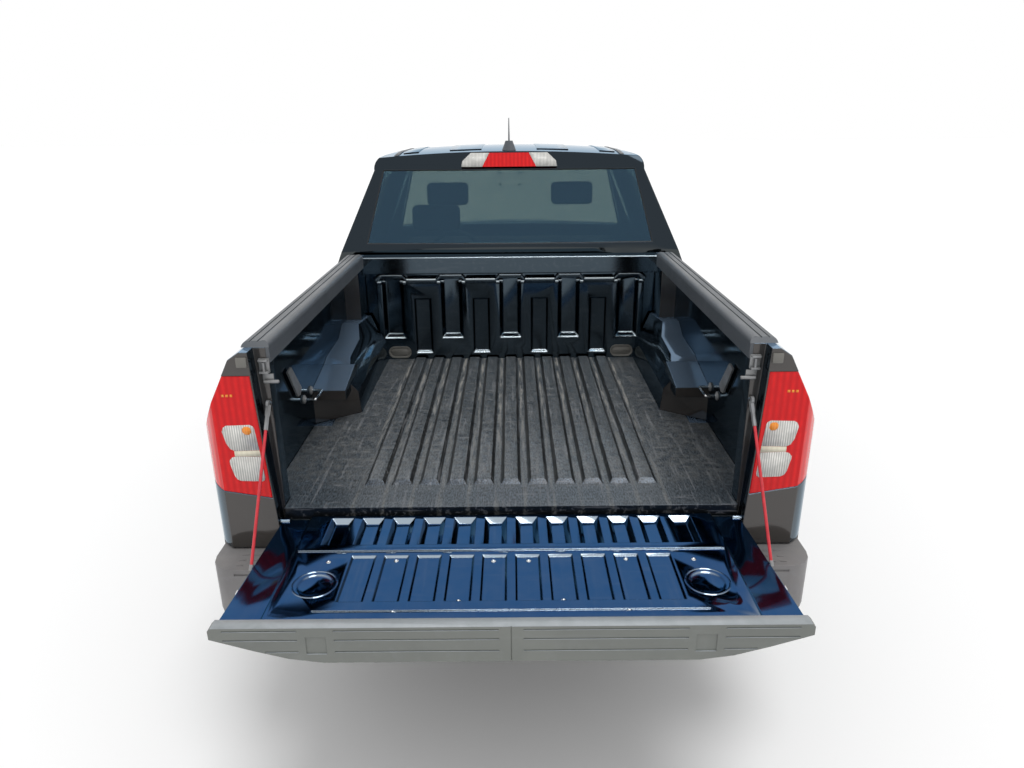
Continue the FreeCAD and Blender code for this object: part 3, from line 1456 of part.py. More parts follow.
def rack_housing():
    along, level = s.front_axle + s.rack_behind, s.tyre_radius
    gear = Part.makeCylinder(s.rack_radius * 1.6, s.rack_half * 2, Vector(-s.rack_half, along, level),
                             Vector(1, 0, 0))
    bracket = across(along - s.rack_radius, along + s.rack_radius, level + s.rack_radius * 1.3,
                     s.frame_front_level, s.rail_centre - s.rail_width / 2)
    return gear.fuse(bracket)


def spring_hangers():
    half = s.spring_length / 2
    inner, outer = s.rail_centre + s.rail_width / 2, s.spring_centre + s.spring_width / 2
    places = ((s.rear_axle - half, s.frame_mid_level + s.spring_thick / 2),
              (s.rear_axle + half, s.frame_rear_level - s.rail_depth / 2))
    return [block((min(side * inner, side * outer), along - s.spring_thick, low),
                  (max(side * inner, side * outer), along + s.spring_thick, low + s.spring_thick / 2))
            for side in (1, -1) for along, low in places]


def bumper_brackets():
    """The two arms that carry the rear bumper, one behind each rail."""
    low = s.frame_rear_level - s.rail_depth / 2
    inner, outer = s.rail_centre - s.rail_width / 2, s.rail_centre + s.rail_width / 2
    face = s.rear_bumper_back - s.rear_bumper_shell - s.seat_clearance
    return [block((min(side * inner, side * outer), s.floor_rear - s.rail_width, low),
                  (max(side * inner, side * outer), face, low + s.cross_width)) for side in (1, -1)]


def build_receiver():
    """The square towing socket, carried by a plate under the rear cross member."""
    half, bore = s.receiver_half, s.receiver_bore_half
    back, low, high = s.rear_bumper_back, s.receiver_level - half, s.receiver_level + half
    carrier = across(s.floor_rear - s.rail_width - s.cross_width, s.floor_rear - s.rail_width,
                     low, s.frame_rear_level - s.rail_depth / 4, half * 2)
    tube = across(s.floor_rear - s.rail_width - s.cross_width, back, low, high, half)
    socket = across(back - s.receiver_length, back, s.receiver_level - bore, s.receiver_level + bore, bore)
    keep("tow_receiver", carrier.fuse(tube).cut(socket))


def ring_edges(turned_shape):
    """The full circles at a cylinder's two ends."""
    return [edge for edge in turned_shape.Edges if isinstance(edge.Curve, Part.Circle)]


def build_rear_axle():
    centre = Vector(0, s.rear_axle, s.tyre_radius)
    reach = s.track / 2 + s.rim_width / 2 - s.rim_dish
    inner = s.track / 2 + s.rim_width / 2 - s.rim_dish - s.spoke_thick - s.flange_thick - s.disc_hat - s.disc_thick
    tube_end = inner - s.cut_over / 4
    tube = Part.makeCylinder(s.axle_tube_radius, tube_end * 2, centre - Vector(tube_end, 0, 0), Vector(1, 0, 0))
    shaft = Part.makeCylinder(s.hub_bore - s.bearing_clearance, reach * 2, centre - Vector(reach, 0, 0),
                              Vector(1, 0, 0))
    housing = Part.makeCylinder(s.axle_housing_radius, s.axle_housing_half * 2,
                                centre - Vector(s.axle_housing_half, 0, 0), Vector(1, 0, 0))
    housing = housing.makeChamfer(s.axle_housing_half / 2, ring_edges(housing))
    nose = Part.makeCone(s.axle_housing_half, s.propshaft_radius * 1.6,
                         s.axle_housing_radius * s.axle_nose_share, centre, Vector(0, -1, 0))
    keep("rear_axle_housing", tube.fuse([shaft, housing, nose, *springs()]))


def springs():
    top = s.tyre_radius + s.axle_tube_radius - s.spring_thick / 4
    half = s.spring_length / 2
    fore_eye = s.frame_mid_level + s.spring_thick / 2
    rear_eye = s.frame_rear_level - s.rail_depth / 2
    plane = side_plane(s.spring_centre - s.spring_width / 2)
    leaf = wire(
        plane,
        (s.rear_axle - half, fore_eye - s.spring_thick),
        ((s.rear_axle, top), (s.rear_axle + half, rear_eye - s.spring_thick)),
        (s.rear_axle + half, rear_eye),
        ((s.rear_axle, top + s.spring_thick), (s.rear_axle - half, fore_eye)),
    )
    spring = extruded(leaf, Vector(s.spring_width, 0, 0))
    return [spring, mirrored(spring)]


def arm_outline(level, root_half):
    """A wishbone seen from above, wide at the frame and narrow at its ball joint."""
    root = s.rail_centre + s.rail_width / 2
    tip = s.track / 2 - s.kingpin_inset + s.knuckle_half
    neck = tip - s.knuckle_half * 2
    return wire(
        level_plane(level), (root, s.front_axle - root_half), (neck, s.front_axle - s.arm_tip_half),
        (tip, s.front_axle - s.arm_tip_half), (tip, s.front_axle + s.arm_tip_half),
        (neck, s.front_axle + s.arm_tip_half), (root, s.front_axle + root_half))


def build_front_axle():
    lower = s.tyre_radius - s.lower_arm_drop
    upper = s.tyre_radius + s.upper_arm_rise
    low_arm = extruded(arm_outline(lower - s.arm_thick, s.arm_root_half), Vector(0, 0, s.arm_thick))
    high_arm = extruded(arm_outline(upper, s.arm_root_half * 0.6), Vector(0, 0, s.arm_thick * 0.8))
    bracket = block((s.rail_centre, s.front_axle - s.arm_root_half, lower - s.arm_thick),
                    (s.rail_centre + s.rail_width / 2, s.front_axle + s.arm_root_half,
                     s.frame_front_level - s.rail_depth / 2))
    keep("front_arms", Part.makeCompound([
        arm for one in (low_arm.fuse(bracket), high_arm) for arm in (one, mirrored(one))]))
    pin_x = s.track / 2 - s.kingpin_inset
    post = block((pin_x - s.knuckle_half, s.front_axle - s.knuckle_depth_half, lower + s.seat_clearance),
                 (pin_x + s.knuckle_half, s.front_axle + s.knuckle_depth_half, upper - s.seat_clearance))
    reach = s.track / 2 + s.rim_width / 2 - s.rim_dish
    spindle = Part.makeCylinder(s.hub_bore - s.bearing_clearance, reach - pin_x,
                                Vector(pin_x, s.front_axle, s.tyre_radius), Vector(1, 0, 0))
    steer_arm = block((pin_x - s.knuckle_half, s.front_axle, s.tyre_radius - s.steer_arm_thick / 2),
                      (pin_x, s.front_axle + s.steer_arm_length, s.tyre_radius + s.steer_arm_thick / 2))
    knuckle = post.fuse([spindle, steer_arm])
    keep("knuckle_left", knuckle)
    keep("knuckle_right", mirrored(knuckle))


def build_driveline():
    back = s.front_axle + s.engine_ahead + s.engine_length / 2
    low, high = s.engine_level, s.engine_level + s.engine_depth
    engine = across(back - s.engine_length, back, low, high, s.engine_width / 2)
    rail = s.rail_centre - s.rail_width / 2 - s.seat_clearance
    mount_low = s.frame_front_level
    centre = Vector(0, back, low - s.gearbox_drop)
    gearbox = Part.makeCone(s.gearbox_radius * 1.3, s.gearbox_radius * 0.7, s.gearbox_length, centre,
                            Vector(0, 1, 0))
    start = centre + Vector(0, s.gearbox_length, 0)
    end = Vector(0, s.rear_axle - s.axle_housing_radius * s.axle_nose_share, s.tyre_radius)
    shaft = tube_between(start, end, s.propshaft_radius).cut(across(
        end.y - s.seat_clearance, s.rear_axle, 0, s.frame_rear_level, s.rail_centre))
    mounts = [block((min(side * s.engine_width / 2, side * rail), back - s.engine_length / 2, mount_low),
                    (max(side * s.engine_width / 2, side * rail),
                     back - s.engine_length / 2 + s.cross_width, mount_low + s.mount_radius))
              for side in (1, -1)]
    keep("powertrain", engine.fuse([gearbox, shaft, *mounts]))
    tank_low = s.frame_mid_level - s.rail_depth / 2
    keep("fuel_tank", block(
        (s.rail_centre + s.rail_width / 2, s.cab_back - s.tank_ahead - s.tank_length / 2, tank_low),
        (s.rail_centre + s.rail_width / 2 + s.tank_width, s.cab_back - s.tank_ahead + s.tank_length / 2,
         tank_low + s.tank_depth)))


def build_exhaust():
    rail = s.rail_centre + s.rail_width / 2
    x = -(rail + s.muffler_radius + s.exhaust_radius)
    level = s.frame_mid_level
    start = Vector(x, s.front_axle + s.engine_length, level)
    middle = Vector(x, s.cab_back - s.muffler_length - s.muffler_ahead, level)
    muffler = tube_between(middle, middle + Vector(0, s.muffler_length, 0), s.muffler_radius)
    hangers = [block((x, along, level - s.exhaust_radius / 2), (-rail, along + s.exhaust_radius,
                                                               level + s.exhaust_radius / 2))
               for along in (start.y + s.muffler_length / 4, middle.y + s.muffler_length / 2)]
    keep("exhaust", tube_between(start, middle, s.exhaust_radius).fuse([muffler, *hangers]))


def build_spare():
    centre = Vector(0, s.rear_axle + s.spare_behind_axle, s.spare_level)
    wheel = rod(centre, centre + Vector(0, 0, s.spare_width), s.spare_radius, s_count("wheel_facets"))
    cross = Vector(0, s.rear_axle + s.wheelhouse_reach + s.cross_width / 2, s.spare_level)
    post_height = s.frame_rear_level - s.rail_depth / 4 - s.spare_level
    keep("spare_wheel", wheel.fuse(rod(cross, cross + Vector(0, 0, post_height), s.exhaust_radius,
                                       s_count("dome_facets"))))


build_rails()
build_cross_members()
build_receiver()
build_rear_axle()
build_front_axle()
build_driveline()
build_exhaust()
build_spare()


# Cab inside: seats, dashboard, console and steering wheel

def seat_outline(x, ahead, lean, height):
    """A seat from the side: cushion and leaning back."""
    front = ahead - s.seat_length / 2
    rear = ahead + s.seat_length / 2
    top = s.seat_level + height
    return wire(
        side_plane(x),
        (front, s.seat_base_level),
        (rear + s.seat_back_thick / 2, s.seat_base_level),
        (rear + s.seat_back_thick + lean, top),
        (rear + lean, top),
        (rear, s.seat_level),
        ((ahead, s.seat_level - s.seat_back_thick / 8), (front, s.seat_level)),
    )


def head_rest(x, ahead, lean, height):
    rear = ahead + s.seat_length / 2 + lean - s.seat_back_thick / 8
    low = s.seat_level + height
    return block((x - s.head_rest_width / 2, rear + s.seat_back_thick / 4, low),
                 (x + s.head_rest_width / 2, rear + s.seat_back_thick / 4 + s.head_rest_thick,
                  low + s.head_rest_height))


def build_seats():
    ahead = s.door_middle - s.seat_front_ahead
    seats = []
    for side in (1, -1):
        x = side * s.seat_centre
        seat = extruded(seat_outline(x - s.seat_width / 2, ahead, s.seat_lean, s.seat_back_height),
                        Vector(s.seat_width, 0, 0))
        runner = block((x - s.seat_width / 4, ahead - s.seat_length / 3, s.cab_floor_level),
                       (x + s.seat_width / 4, ahead + s.seat_length / 3, s.seat_base_level))
        seats.append(seat.fuse([head_rest(x, ahead, s.seat_lean, s.seat_back_height), runner]))
    keep("front_seats", Part.makeCompound(seats))
    ahead = s.cab_back - s.rear_seat_ahead
    half = s.seat_centre + s.seat_width / 2
    bench = extruded(seat_outline(-half, ahead, s.rear_seat_lean, s.rear_back_height),
                     Vector(half * 2, 0, 0))
    box = across(ahead - s.seat_length / 3, ahead + s.seat_length / 3, s.cab_floor_level,
                 s.seat_base_level, half)
    rests = [head_rest(x, ahead, s.rear_seat_lean, s.rear_back_height) for x in (-s.seat_centre, 0, s.seat_centre)]
    keep("rear_seat", bench.fuse([box, *rests]))


def build_dashboard():
    front = s.cowl + s.firewall_thick
    dash_rear = front + s.dash_depth
    dash = extruded(wire(
        side_plane(-s.dash_half),
        (front, s.dash_low_level),
        (dash_rear - s.dash_depth / 3, s.dash_low_level),
        (dash_rear, s.dash_level - s.dash_depth / 4),
        ((dash_rear - s.dash_depth / 8, s.dash_level - s.dash_depth / 16), (dash_rear - s.dash_depth / 3, s.dash_level)),
        (front, s.dash_level - s.dash_depth / 10),
    ), Vector(s.dash_half * 2, 0, 0))
    console = across(front + s.dash_depth / 2, s.door_middle - s.pillar_half * 2,
                     s.cab_floor_level, s.console_level, s.console_half)
    column = Vector(s.seat_centre, s.cowl + s.wheel_behind_cowl, s.wheel_level)
    lean = wheel_direction()
    keep("dashboard", dash.fuse([console, tube_between(
        column - lean * s.column_length, column - lean * (s.wheel_hub_back + s.seat_clearance),
        s.column_radius)]).common(cab_room).cut(nose_skin))


def wheel_direction():
    """The steering column's direction, from the dashboard towards the driver."""
    tilt = math.radians(s.wheel_tilt)
    return Vector(0, math.cos(tilt), math.sin(tilt))


def build_steering_wheel():
    centre = Vector(s.seat_centre, s.cowl + s.wheel_behind_cowl, s.wheel_level)
    lean = wheel_direction()
    across_wheel = Vector(1, 0, 0)
    sides, count = s_count("ring_side_facets"), s_count("ring_facets")
    section = [(s.wheel_ring_thick * math.cos(math.tau * turn / sides),
                s.wheel_ring_radius + s.wheel_ring_thick * math.sin(math.tau * turn / sides))
               for turn in range(sides)]
    ring = faceted_turn(section, count, centre, lean, across_wheel)
    hub = rod(centre - lean * s.wheel_hub_back, centre + lean * s.wheel_ring_thick,
              s.column_radius * 2.2, count)
    spokes = [rod(centre, centre + direction * s.wheel_ring_radius, s.wheel_ring_thick * 0.8, sides)
              for direction in (across_wheel, -across_wheel, lean.cross(across_wheel))]
    keep("steering_wheel", ring.fuse([hub, *spokes]))


def build_mirrors():
    low = s.mirror_level - s.mirror_height / 2
    front = s.door_front + s.mirror_behind
    inner = s.mirror_half - s.mirror_width
    head = extruded(wire(
        level_plane(low),
        (inner, front + s.mirror_depth * 0.4),
        ((inner + s.mirror_width / 2, front), (s.mirror_half, front + s.mirror_depth * 0.5)),
        (s.mirror_half, front + s.mirror_depth),
        (inner, front + s.mirror_depth)), Vector(0, 0, s.mirror_height))
    arm_level = s.shoulder_level - s.mirror_arm
    arm = block((s.shoulder_half - s.glass_inset, front + s.mirror_depth * 0.5, arm_level - s.mirror_arm),
                (inner + s.mirror_arm, front + s.mirror_depth, arm_level)).cut(cab_form)
    mirror = head.fuse(arm)
    keep("mirror_left", mirror)
    keep("mirror_right", mirrored(mirror))


def build_roof_pieces():
    along = s.hinge_line - s.antenna_ahead
    foot = s.rear_header_level
    dome_top = Vector(0, along, s.antenna_dome_level)
    dome = rod(Vector(0, along, foot), dome_top, s.antenna_base_radius, s_count("dome_facets"),
               s.antenna_base_radius / 2).cut(cab_form)
    mast = rod(dome_top, Vector(0, along, s.antenna_tip_level), s.antenna_radius,
               s_count("mast_facets"), s.antenna_radius / 2)
    keep("antenna", dome.fuse(mast))
    lamp_low = s.rear_glass_head_level + s.top_lamp_above_glass
    lamp_zone = front_glass_prism(
        s.top_lamp_half, s.top_lamp_half - s.top_lamp_taper, lamp_low, lamp_low + s.top_lamp_height,
        s.cab_back - s.rear_glass_run * 2, s.cab_back)
    keep("top_lamp", cab_form.translated(Vector(0, s.top_lamp_depth, 0)).cut(cab_form).common(lamp_zone))


build_seats()
build_dashboard()
build_steering_wheel()
build_mirrors()
build_roof_pieces()


def write_parts():
    doc.recompute()
    for item in doc.Objects:
        if "Invalid" in item.State or "Error" in item.State:
            raise RuntimeError(f"{item.Label} did not build: {item.State}")
    for node in nodes:
        if node.Shape.isNull() or not node.Shape.isValid():
            raise RuntimeError(f"{node.Label} has no sound shape")
    os.makedirs("parts", exist_ok=True)
    for node in nodes:
        node.Shape.exportStep(f"parts/{node.Label}.step")


write_parts()
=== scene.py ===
import json
import math

import bmesh
import bpy
from mathutils import Matrix, Vector
from mathutils.bvhtree import BVHTree

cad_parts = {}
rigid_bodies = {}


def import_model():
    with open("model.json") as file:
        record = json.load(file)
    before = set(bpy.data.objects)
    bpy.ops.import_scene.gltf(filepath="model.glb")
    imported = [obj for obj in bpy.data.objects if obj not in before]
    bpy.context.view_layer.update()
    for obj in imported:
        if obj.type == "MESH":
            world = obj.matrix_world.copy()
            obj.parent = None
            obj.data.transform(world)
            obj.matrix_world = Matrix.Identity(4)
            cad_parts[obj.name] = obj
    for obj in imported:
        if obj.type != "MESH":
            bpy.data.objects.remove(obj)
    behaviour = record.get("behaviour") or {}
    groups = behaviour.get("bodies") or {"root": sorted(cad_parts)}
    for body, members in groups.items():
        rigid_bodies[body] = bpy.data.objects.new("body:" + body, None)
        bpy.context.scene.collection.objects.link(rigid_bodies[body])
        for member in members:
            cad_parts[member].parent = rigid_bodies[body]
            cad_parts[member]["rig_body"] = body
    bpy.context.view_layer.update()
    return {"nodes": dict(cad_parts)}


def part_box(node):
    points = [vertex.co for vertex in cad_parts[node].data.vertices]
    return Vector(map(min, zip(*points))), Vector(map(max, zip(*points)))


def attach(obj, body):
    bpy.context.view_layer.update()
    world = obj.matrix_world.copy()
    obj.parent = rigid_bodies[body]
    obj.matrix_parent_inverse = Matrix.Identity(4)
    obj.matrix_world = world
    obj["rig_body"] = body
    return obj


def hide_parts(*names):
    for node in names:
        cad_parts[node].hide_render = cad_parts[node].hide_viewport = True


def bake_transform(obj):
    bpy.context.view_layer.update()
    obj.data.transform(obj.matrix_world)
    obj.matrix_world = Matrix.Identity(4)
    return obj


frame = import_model()
nodes = frame["nodes"]

# The studio: a pale floor, an even white surround and one large soft lamp almost overhead,
# with the camera behind the lowered tailgate at eye height.
EYE = Vector((-0.009, 4.336, 1.967))
PITCH_DOWN = 19.92
ROLL = -0.514
HEADING = 180.07
LENS = 25.76
FLOOR_REACH = 60
FLOOR_COLOUR = (0.93, 0.93, 0.93, 1)
FLOOR_ROUGH = 0.9
FLOOR_SPECULAR = 0.1
SURROUND_LEVEL = 0.82
SUN_TOWARDS = Vector((-0.14, 0.16, 0.98))
SUN_STRENGTH = 1.15
SUN_ANGLE = 30
DOUBLES_CLOSE = 0.00001

scene = bpy.context.scene
scene.view_settings.view_transform = "Standard"
camera = bpy.data.objects.new("camera", bpy.data.cameras.new("camera"))
scene.collection.objects.link(camera)
camera.data.lens = LENS
camera.matrix_world = (Matrix.Translation(EYE)
                       @ Matrix.Rotation(math.radians(HEADING), 4, "Z")
                       @ Matrix.Rotation(math.radians(90 - PITCH_DOWN), 4, "X")
                       @ Matrix.Rotation(math.radians(ROLL), 4, "Z"))
scene.camera = camera


def put(tree, kind, sockets=None, **settings):
    """A new node in a tree, its sockets set to values or joined to other nodes' outputs."""
    node = tree.nodes.new(kind)
    for name, value in settings.items():
        setattr(node, name, value)
    for key, value in (sockets or {}).items():
        if isinstance(value, bpy.types.NodeSocket):
            tree.links.new(value, node.inputs[key])
        else:
            node.inputs[key].default_value = value
    return node


def reckoned(tree, operation, *values):
    """The outcome of one sum on numbers or other nodes' outputs."""
    return put(tree, "ShaderNodeMath", dict(enumerate(values)), operation=operation).outputs[0]


def bare_material(name):
    """A new material, and the shader in it."""
    material = bpy.data.materials.new(name)
    material.use_nodes = True
    return material, material.node_tree.nodes["Principled BSDF"]


def close_up(form):
    """Merges a form's doubles and turns its faces outwards."""
    bmesh.ops.remove_doubles(form, verts=form.verts, dist=DOUBLES_CLOSE)
    bmesh.ops.recalc_face_normals(form, faces=form.faces)


def mesh_piece(name, form, material, body, smooth_angle=None, modelled=True):
    """Turns a bmesh into a finished piece that rides on a body."""
    if modelled:
        close_up(form)
    mesh = bpy.data.meshes.new(name)
    form.to_mesh(mesh)
    form.free()
    piece = bpy.data.objects.new(name, mesh)
    scene.collection.objects.link(piece)
    if smooth_angle is not None:
        mesh.shade_smooth()
        mesh.set_sharp_from_angle(angle=math.radians(smooth_angle))
    mesh.materials.append(material)
    if body:
        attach(piece, body)
    return piece


floor_form = bmesh.new()
bmesh.ops.create_grid(floor_form, size=FLOOR_REACH)
floor_finish, floor_shader = bare_material("studio_floor")
floor_shader.inputs["Base Color"].default_value = FLOOR_COLOUR
floor_shader.inputs["Roughness"].default_value = FLOOR_ROUGH
floor_shader.inputs["Specular IOR Level"].default_value = FLOOR_SPECULAR
mesh_piece("studio_floor", floor_form, floor_finish, None, modelled=False)

sun = bpy.data.objects.new("soft_lamp", bpy.data.lights.new("soft_lamp", "SUN"))
sun.data.energy = SUN_STRENGTH
sun.data.angle = math.radians(SUN_ANGLE)
sun.rotation_euler = SUN_TOWARDS.to_track_quat("Z", "Y").to_euler()
scene.collection.objects.link(sun)

scene.world = bpy.data.worlds.new("surround")
scene.world.use_nodes = True
sky = scene.world.node_tree
paths = put(sky, "ShaderNodeLightPath").outputs
seen = reckoned(sky, "MAXIMUM", paths["Is Camera Ray"], paths["Is Glossy Ray"])
seen = reckoned(sky, "MAXIMUM", seen, paths["Is Transmission Ray"])
level = put(sky, "ShaderNodeMapRange", {"Value": seen, "To Min": SURROUND_LEVEL, "To Max": 1})
sky.links.new(level.outputs["Result"], sky.nodes["Background"].inputs["Strength"])
sky.nodes["Background"].inputs["Color"].default_value = (1, 1, 1, 1)

# Underside: ladder frame, cross members and tow receiver, of welded steel dipped in a
# black coat that has dulled, bolted together under the cab and the box.
MERGE_CLOSE = 0.00005
FLAT_WITHIN = 0.5
BEVEL_STEPS = 2
DRIFT_RANGE = (0.35, 0.68)
DUST_COLOUR = (0.36, 0.35, 0.32, 1)
DUST_SCALE = 14.0
DUST_SLOPES = (0.55, 0.98)
DUST_PATCHES = (0.32, 0.66)
DUST_DULLS = 0.6
SCUFF_COLOUR = (0.32, 0.34, 0.37, 1)
SCUFF_SCALE = 30.0
SCUFF_DULLS = 0.35
LONG_SCUFFS = (1, 0.05, 1)
LONG_SCUFF_RANGE = (0.56, 0.66)
CROSS_SCUFFS = (0.09, 1, 1)
CROSS_SCUFF_RANGE = (0.61, 0.68)
GRAIN_SCALE = 900.0
GRAIN_DEEP = 0.0004
ROUGH_SPREAD = 0.08
DARKER_SHARE = 0.8


def effect_group(name, sockets, result):
    """A new shader node group with number inputs and one number output."""
    group = bpy.data.node_groups.new(name, "ShaderNodeTree")
    for title, value in sockets.items():
        socket = group.interface.new_socket(title, in_out="INPUT", socket_type="NodeSocketFloat")
        socket.default_value = value
    group.interface.new_socket(result, in_out="OUTPUT", socket_type="NodeSocketFloat")
    return group, group.nodes.new("NodeGroupInput").outputs, group.nodes.new("NodeGroupOutput").inputs[0]


def spread_noise(tree, stretch, scale, detail=4.0):
    """Noise on the piece's own coordinates, stretched by a factor along each axis."""
    place = put(tree, "ShaderNodeTexCoord").outputs["Object"]
    turned = put(tree, "ShaderNodeMapping", {"Vector": place, "Scale": stretch})
    return put(tree, "ShaderNodeTexNoise", {"Vector": turned.outputs[0], "Scale": scale,
                                            "Detail": detail}).outputs[0]


def window(tree, value, low, high, least=0.0, most=1.0):
    """A value spread from one range to another and held inside it."""
    return put(tree, "ShaderNodeMapRange", {"Value": value, "From Min": low, "From Max": high,
                                            "To Min": least, "To Max": most}).outputs[0]


def times(tree, first, second):
    """Two values multiplied."""
    return reckoned(tree, "MULTIPLY", first, second)


drift, drift_in, drift_out = effect_group("colour_drift", {"Scale": 6.0}, "Mask")
cloud = spread_noise(drift, (1, 1, 1), drift_in["Scale"])
drift.links.new(window(drift, cloud, *DRIFT_RANGE), drift_out)

dust, dust_in, dust_out = effect_group("settled_dust", {"Amount": 0.5, "Scale": DUST_SCALE}, "Mask")
facing = put(dust, "ShaderNodeSeparateXYZ", {0: put(dust, "ShaderNodeTexCoord").outputs["Normal"]})
upward = window(dust, facing.outputs["Z"], *DUST_SLOPES)
patches = window(dust, spread_noise(dust, (1, 1, 1), dust_in["Scale"], 8.0), *DUST_PATCHES)
dust.links.new(times(dust, times(dust, upward, patches), dust_in["Amount"]), dust_out)

scuffs, scuffs_in, scuffs_out = effect_group("fine_scuffs", {"Amount": 0.5, "Scale": SCUFF_SCALE}, "Mask")
long_ways = window(scuffs, spread_noise(scuffs, LONG_SCUFFS, scuffs_in["Scale"], 6.0), *LONG_SCUFF_RANGE)
cross_ways = window(scuffs, spread_noise(scuffs, CROSS_SCUFFS, scuffs_in["Scale"], 6.0),
                    *CROSS_SCUFF_RANGE)
either = reckoned(scuffs, "MAXIMUM", long_ways, cross_ways)
scuffs.links.new(times(scuffs, either, scuffs_in["Amount"]), scuffs_out)

grain, grain_in, grain_out = effect_group("moulded_grain", {"Scale": GRAIN_SCALE}, "Height")
place_in = put(grain, "ShaderNodeTexCoord").outputs["Object"]
pebbles = put(grain, "ShaderNodeTexVoronoi", {"Vector": place_in, "Scale": grain_in["Scale"]})
grain.links.new(pebbles.outputs["Distance"], grain_out)


def used(tree, group, **sockets):
    """A group placed in a material's tree, with its inputs set."""
    node = put(tree, "ShaderNodeGroup", node_tree=group)
    for title, value in sockets.items():
        node.inputs[title].default_value = value
    return node.outputs[0]


def mixed(tree, share, first, second):
    """Two colours mixed by a mask."""
    return put(tree, "ShaderNodeMix", {0: share, 6: first, 7: second}, data_type="RGBA").outputs[2]


def marked(tree, shade, roughness, group, amount, scale, colour, dulls):
    """A shade and a roughness with scuffs or dust over them, or as they were without any."""
    if not amount:
        return shade, roughness
    marks = used(tree, group, Amount=amount, Scale=scale)
    return mixed(tree, marks, shade, colour), reckoned(tree, "MULTIPLY_ADD", marks, dulls, roughness)


def finish(name, colour, rough, metallic=0.0, other=None, drift_scale=6.0, dusty=0.0, scuffed=0.0,
           grained=0.0, grain_scale=GRAIN_SCALE, coat=0.0):
    """A material: its colour drifting to another, with dust, scuffs and a moulded grain."""
    material, surface = bare_material(name)
    tree = material.node_tree
    surface.inputs["Metallic"].default_value = metallic
    surface.inputs["Coat Weight"].default_value = coat
    drifting = used(tree, drift, Scale=drift_scale)
    darker = (*(DARKER_SHARE * part for part in colour[:3]), 1)
    shade = mixed(tree, drifting, colour, other or darker)
    roughness = window(tree, drifting, 0.0, 1.0, rough, rough + ROUGH_SPREAD)
    shade, roughness = marked(tree, shade, roughness, scuffs, scuffed, SCUFF_SCALE, SCUFF_COLOUR,
                              SCUFF_DULLS)
    shade, roughness = marked(tree, shade, roughness, dust, dusty, DUST_SCALE, DUST_COLOUR, DUST_DULLS)
    if grained:
        relief = used(tree, grain, Scale=grain_scale)
        bump = put(tree, "ShaderNodeBump", {"Height": relief, "Strength": grained, "Distance": GRAIN_DEEP})
        tree.links.new(bump.outputs[0], surface.inputs["Normal"])
    tree.links.new(shade, surface.inputs["Base Color"])
    tree.links.new(roughness, surface.inputs["Roughness"])
    return material


def merged_copy(node):
    """A copy of a node's mesh with its loose triangles joined up."""
    form = bmesh.new()
    form.from_mesh(nodes[node].data)
    bmesh.ops.remove_doubles(form, verts=form.verts, dist=MERGE_CLOSE)
    return form


def dressed(node, material, bevel=0.002, sharp=32):
    """A copy of a solid's mesh, with its edges rounded over, that stands for the solid."""
    form = merged_copy(node)
    bmesh.ops.dissolve_limit(form, angle_limit=math.radians(FLAT_WITHIN), verts=form.verts,
                             edges=form.edges)
    piece = mesh_piece(node + "_panel", form, material, nodes[node]["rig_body"], sharp, modelled=False)
    rounded = piece.modifiers.new("folded_edges", "BEVEL")
    rounded.width = bevel
    rounded.segments = BEVEL_STEPS
    rounded.limit_method = "ANGLE"
    rounded.angle_limit = math.radians(sharp)
    rounded.harden_normals = True
    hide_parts(node)


frame_coat = finish("frame_coat", (0.018, 0.018, 0.02, 1), 0.45, other=(0.05, 0.034, 0.024, 1),
                    drift_scale=9.0, dusty=0.3, grained=0.3)
cast_steel = finish("cast_steel", (0.10, 0.09, 0.085, 1), 0.5, 0.5, other=(0.13, 0.065, 0.035, 1),
                    drift_scale=14.0, dusty=0.2, grained=0.5, grain_scale=500.0)
exhaust_steel = finish("exhaust_steel", (0.33, 0.31, 0.29, 1), 0.35, 0.9,
                       other=(0.22, 0.13, 0.08, 1), drift_scale=5.0)
tank_plastic = finish("tank_plastic", (0.022, 0.022, 0.023, 1), 0.5, grained=0.5, dusty=0.2)
for part in ("frame_rail_left", "frame_rail_right", "cross_members", "tow_receiver"):
    dressed(part, frame_coat, 0.003)
for part in ("front_arms", "knuckle_left", "knuckle_right", "powertrain", "rear_axle_housing"):
    dressed(part, cast_steel, 0.0025)
dressed("exhaust", exhaust_steel, 0.002)
dressed("fuel_tank", tank_plastic, 0.012)

# Frame bolts: zinc-plated steel with short six-sided heads, in two rows along the outer face
# of both rails, screwed in where the cross members and hangers are fixed.
BOLT_RADIUS = 0.011
BOLT_HIGH = 0.009
BOLT_SINK = 0.001
BOLT_PITCH = 0.42
BOLT_COUNT = 11
BOLT_LEVELS = (0.42, 0.52)
BOLT_HEAD = [(0, 0), (BOLT_RADIUS, 0), (BOLT_RADIUS, BOLT_HIGH), (BOLT_RADIUS * 0.7, BOLT_HIGH * 1.1),
             (0, BOLT_HIGH * 1.1)]
CLEAR_OF_TRUCK = 2
bolt_zinc = finish("bolt_zinc", (0.42, 0.42, 0.40, 1), 0.35, 0.9, other=(0.28, 0.25, 0.2, 1),
                   drift_scale=40.0)


def add_turned(form, outline, centre, axis, steps):
    """Adds a shape turned about an axis, from (radius, height) pairs."""
    axis = Vector(axis).normalized()
    across = axis.orthogonal().normalized()
    centre = Vector(centre)
    corners = [form.verts.new(centre + across * radius + axis * height) for radius, height in outline]
    sides = [form.edges.new(pair) for pair in zip(corners, corners[1:])]
    bmesh.ops.spin(form, geom=corners + sides, cent=centre, axis=axis, dvec=(0, 0, 0),
                   angle=math.tau, steps=steps, use_merge=True)


